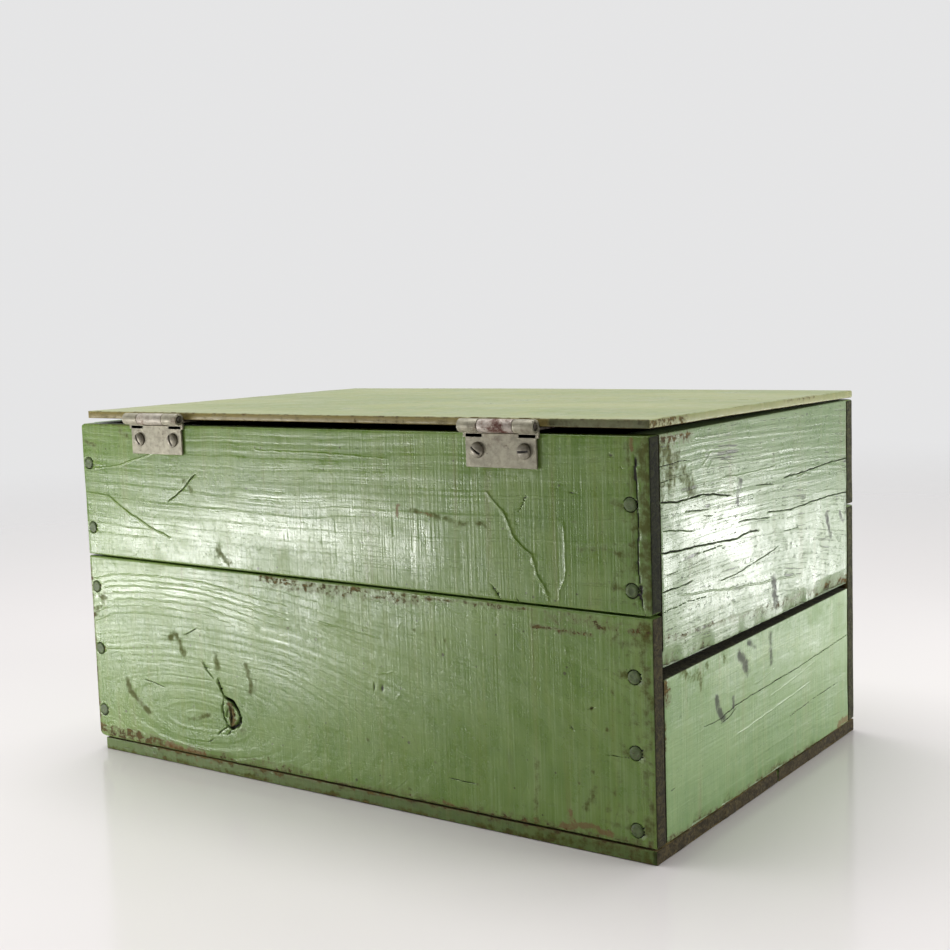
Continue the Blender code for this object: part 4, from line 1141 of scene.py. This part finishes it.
slot_turns = {"right_hinge_screw_1": 28, "right_hinge_screw_2": 18,
              "left_hinge_screw_1": 55, "left_hinge_screw_2": 95,
              "staple_screw_1": 20, "staple_screw_2": 105}
for name, slot_turn in slot_turns.items():
    low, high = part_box(name)
    wall = -1 if name.startswith("staple") else 1
    place = (low + high) / 2
    place.y = high.y if wall > 0 else low.y
    screw = slotted_screw((high.y - low.y) / mm, (high.x - low.x) / 2 / mm, slot_turn)
    steel_piece(f"{name}_slotted", stood_at(screw, place, (0, wall, 0)), "box", [name],
                screw_finish)

for name in [n for n in sorted(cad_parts) if "_tack_" in n]:
    low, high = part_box(name)
    place = (low + high) / 2
    place.z = low.z
    length = (high.z - low.z) / mm
    radius = (high.x - low.x) / 2 / mm
    tack = turned([(0, -length), (1.1, 1.4 - length), (1.1, -0.5), (radius - 0.1, -0.45),
                   (radius, -0.3), (radius - 0.3, -0.06), (radius * 0.5, 0), (0, 0)], 24)
    finished(f"{name}_clout", stood_at(tack, place, (0, 0, -1)), "lid", [name],
             dark_finish)


# ---------------------------------------------------------------- hasp and staple
# A plain hasp on the front: a leaf tacked up under the lid, a slotted strap that hangs from it
# on a pin, and a wire staple riveted through a plate that two screws hold to the wall.

def eased_copy(node):
    """A CAD piece's own shape, welded, its flats joined up and its sharp edges rounded."""
    shape = bmesh.new()
    shape.from_mesh(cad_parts[node].data)
    bmesh.ops.remove_doubles(shape, verts=shape.verts[:], dist=0.001 * mm)
    bmesh.ops.dissolve_limit(shape, angle_limit=math.radians(1.5), verts=shape.verts[:],
                             edges=shape.edges[:])
    return eased(shape, 0.12 * mm)


hasp_pieces = (("hasp_lid_leaf", "hasp_cover_leaf", "lid", "pale_steel", under_lid_finish),
               ("hasp_strap", "hasp_slotted_strap", "hasp", "pale_steel", leaf_finish),
               ("hasp_pin", "hasp_cross_pin", "lid", "pin_steel", dark_finish),
               ("staple_plate", "staple_back_plate", "box", "pale_steel", leaf_finish),
               ("staple_loop", "staple_wire_loop", "box", "pin_steel", screw_finish))
for node, name, body, slot, material in hasp_pieces:
    steel_piece(name, eased_copy(node), body, [node], material)


# ---------------------------------------------------------------- floor
# A plain pale sheet that takes a faint reflection, fading out before its edge is seen.

floor_shape = bmesh.new()
bmesh.ops.create_circle(floor_shape, cap_ends=True, segments=96, radius=3.0)
floor_mesh = bpy.data.meshes.new("floor")
floor_shape.to_mesh(floor_mesh)
floor_shape.free()
floor = bpy.data.objects.new("floor", floor_mesh)
bpy.context.scene.collection.objects.link(floor)
f = Finish(bpy.data.materials.new("pale_floor"))
out = f.node("VectorMath", {"operation": "LENGTH"}, {0: f.place}, output="Value")
surface = f.node("BsdfPrincipled", {}, {
    "Base Color": (0.785, 0.750, 0.745, 1), "Roughness": 0.14, "IOR": 1.40,
    "Alpha": out.within(1.9, 0.45)}, output="BSDF")
f.node("OutputMaterial", {}, {"Surface": surface})
floor_mesh.materials.append(f.owner)


# ---------------------------------------------------------------- light and camera
# A soft room: a pale surround that is darker on the hinge side, a window off the left end, a low
# gleam along each wall and a broad ceiling.

world = bpy.data.worlds.new("studio")
bpy.context.scene.world = world
sky = Finish(world, "Generated")
towards = sky.node("VectorMath", {"operation": "DOT_PRODUCT"},
                   {0: sky.place, 1: (0.50, -0.86, 0.10)}, output="Value")
shade = sky.blend(towards.within(-0.35, 0.75), (0.045, 0.045, 0.043), (0.72, 0.72, 0.72))
seen = sky.blend(sky.node("LightPath", output="Is Camera Ray"), shade, (0.785, 0.785, 0.790))
sky.node("OutputWorld", {}, {
    "Surface": sky.node("Background", {}, {"Color": seen}, output="Background")})


def soft_panel(name, at, aim, size, power):
    """A soft rectangular light at a place, aimed at a point."""
    light = bpy.data.lights.new(name, "AREA")
    light.shape = "RECTANGLE"
    light.size, light.size_y = size
    light.energy = power
    panel = bpy.data.objects.new(name, light)
    panel.location = at
    panel.rotation_euler = (Vector(aim) - Vector(at)).to_track_quat("-Z", "Y").to_euler()
    panel.visible_camera = False
    bpy.context.scene.collection.objects.link(panel)


soft_panel("window", (-1.50, -0.50, 0.38), (-0.1, 0, 0.10), (0.8, 0.6), 13)
soft_panel("end_gleam", (-0.423, -0.435, 0.038), (-0.18, 0.06, 0.11), (0.22, 0.10), 0.57)
soft_panel("back_gleam", (0.420, 0.483, 0.042), (0.06, 0.12, 0.11), (0.30, 0.075), 1.6)
soft_panel("ceiling", (0.40, 0.08, 1.9), (0.1, 0.1, 0.1), (1.6, 1.6), 36)

lens = bpy.data.cameras.new("camera")
lens.lens = 54.76
lens.sensor_width = 36
lens.clip_start = 0.01
camera = bpy.data.objects.new("camera", lens)
camera.location = (-0.4762, 0.6649, 0.2438)
turn = (Euler((0, 0, math.radians(215.35))).to_matrix()
        @ Euler((math.radians(83.67), 0, 0)).to_matrix()
        @ Euler((0, 0, math.radians(-1.97))).to_matrix())
camera.rotation_euler = turn.to_euler()
bpy.context.scene.collection.objects.link(camera)
bpy.context.scene.camera = camera
bpy.context.scene.view_settings.view_transform = "Standard"
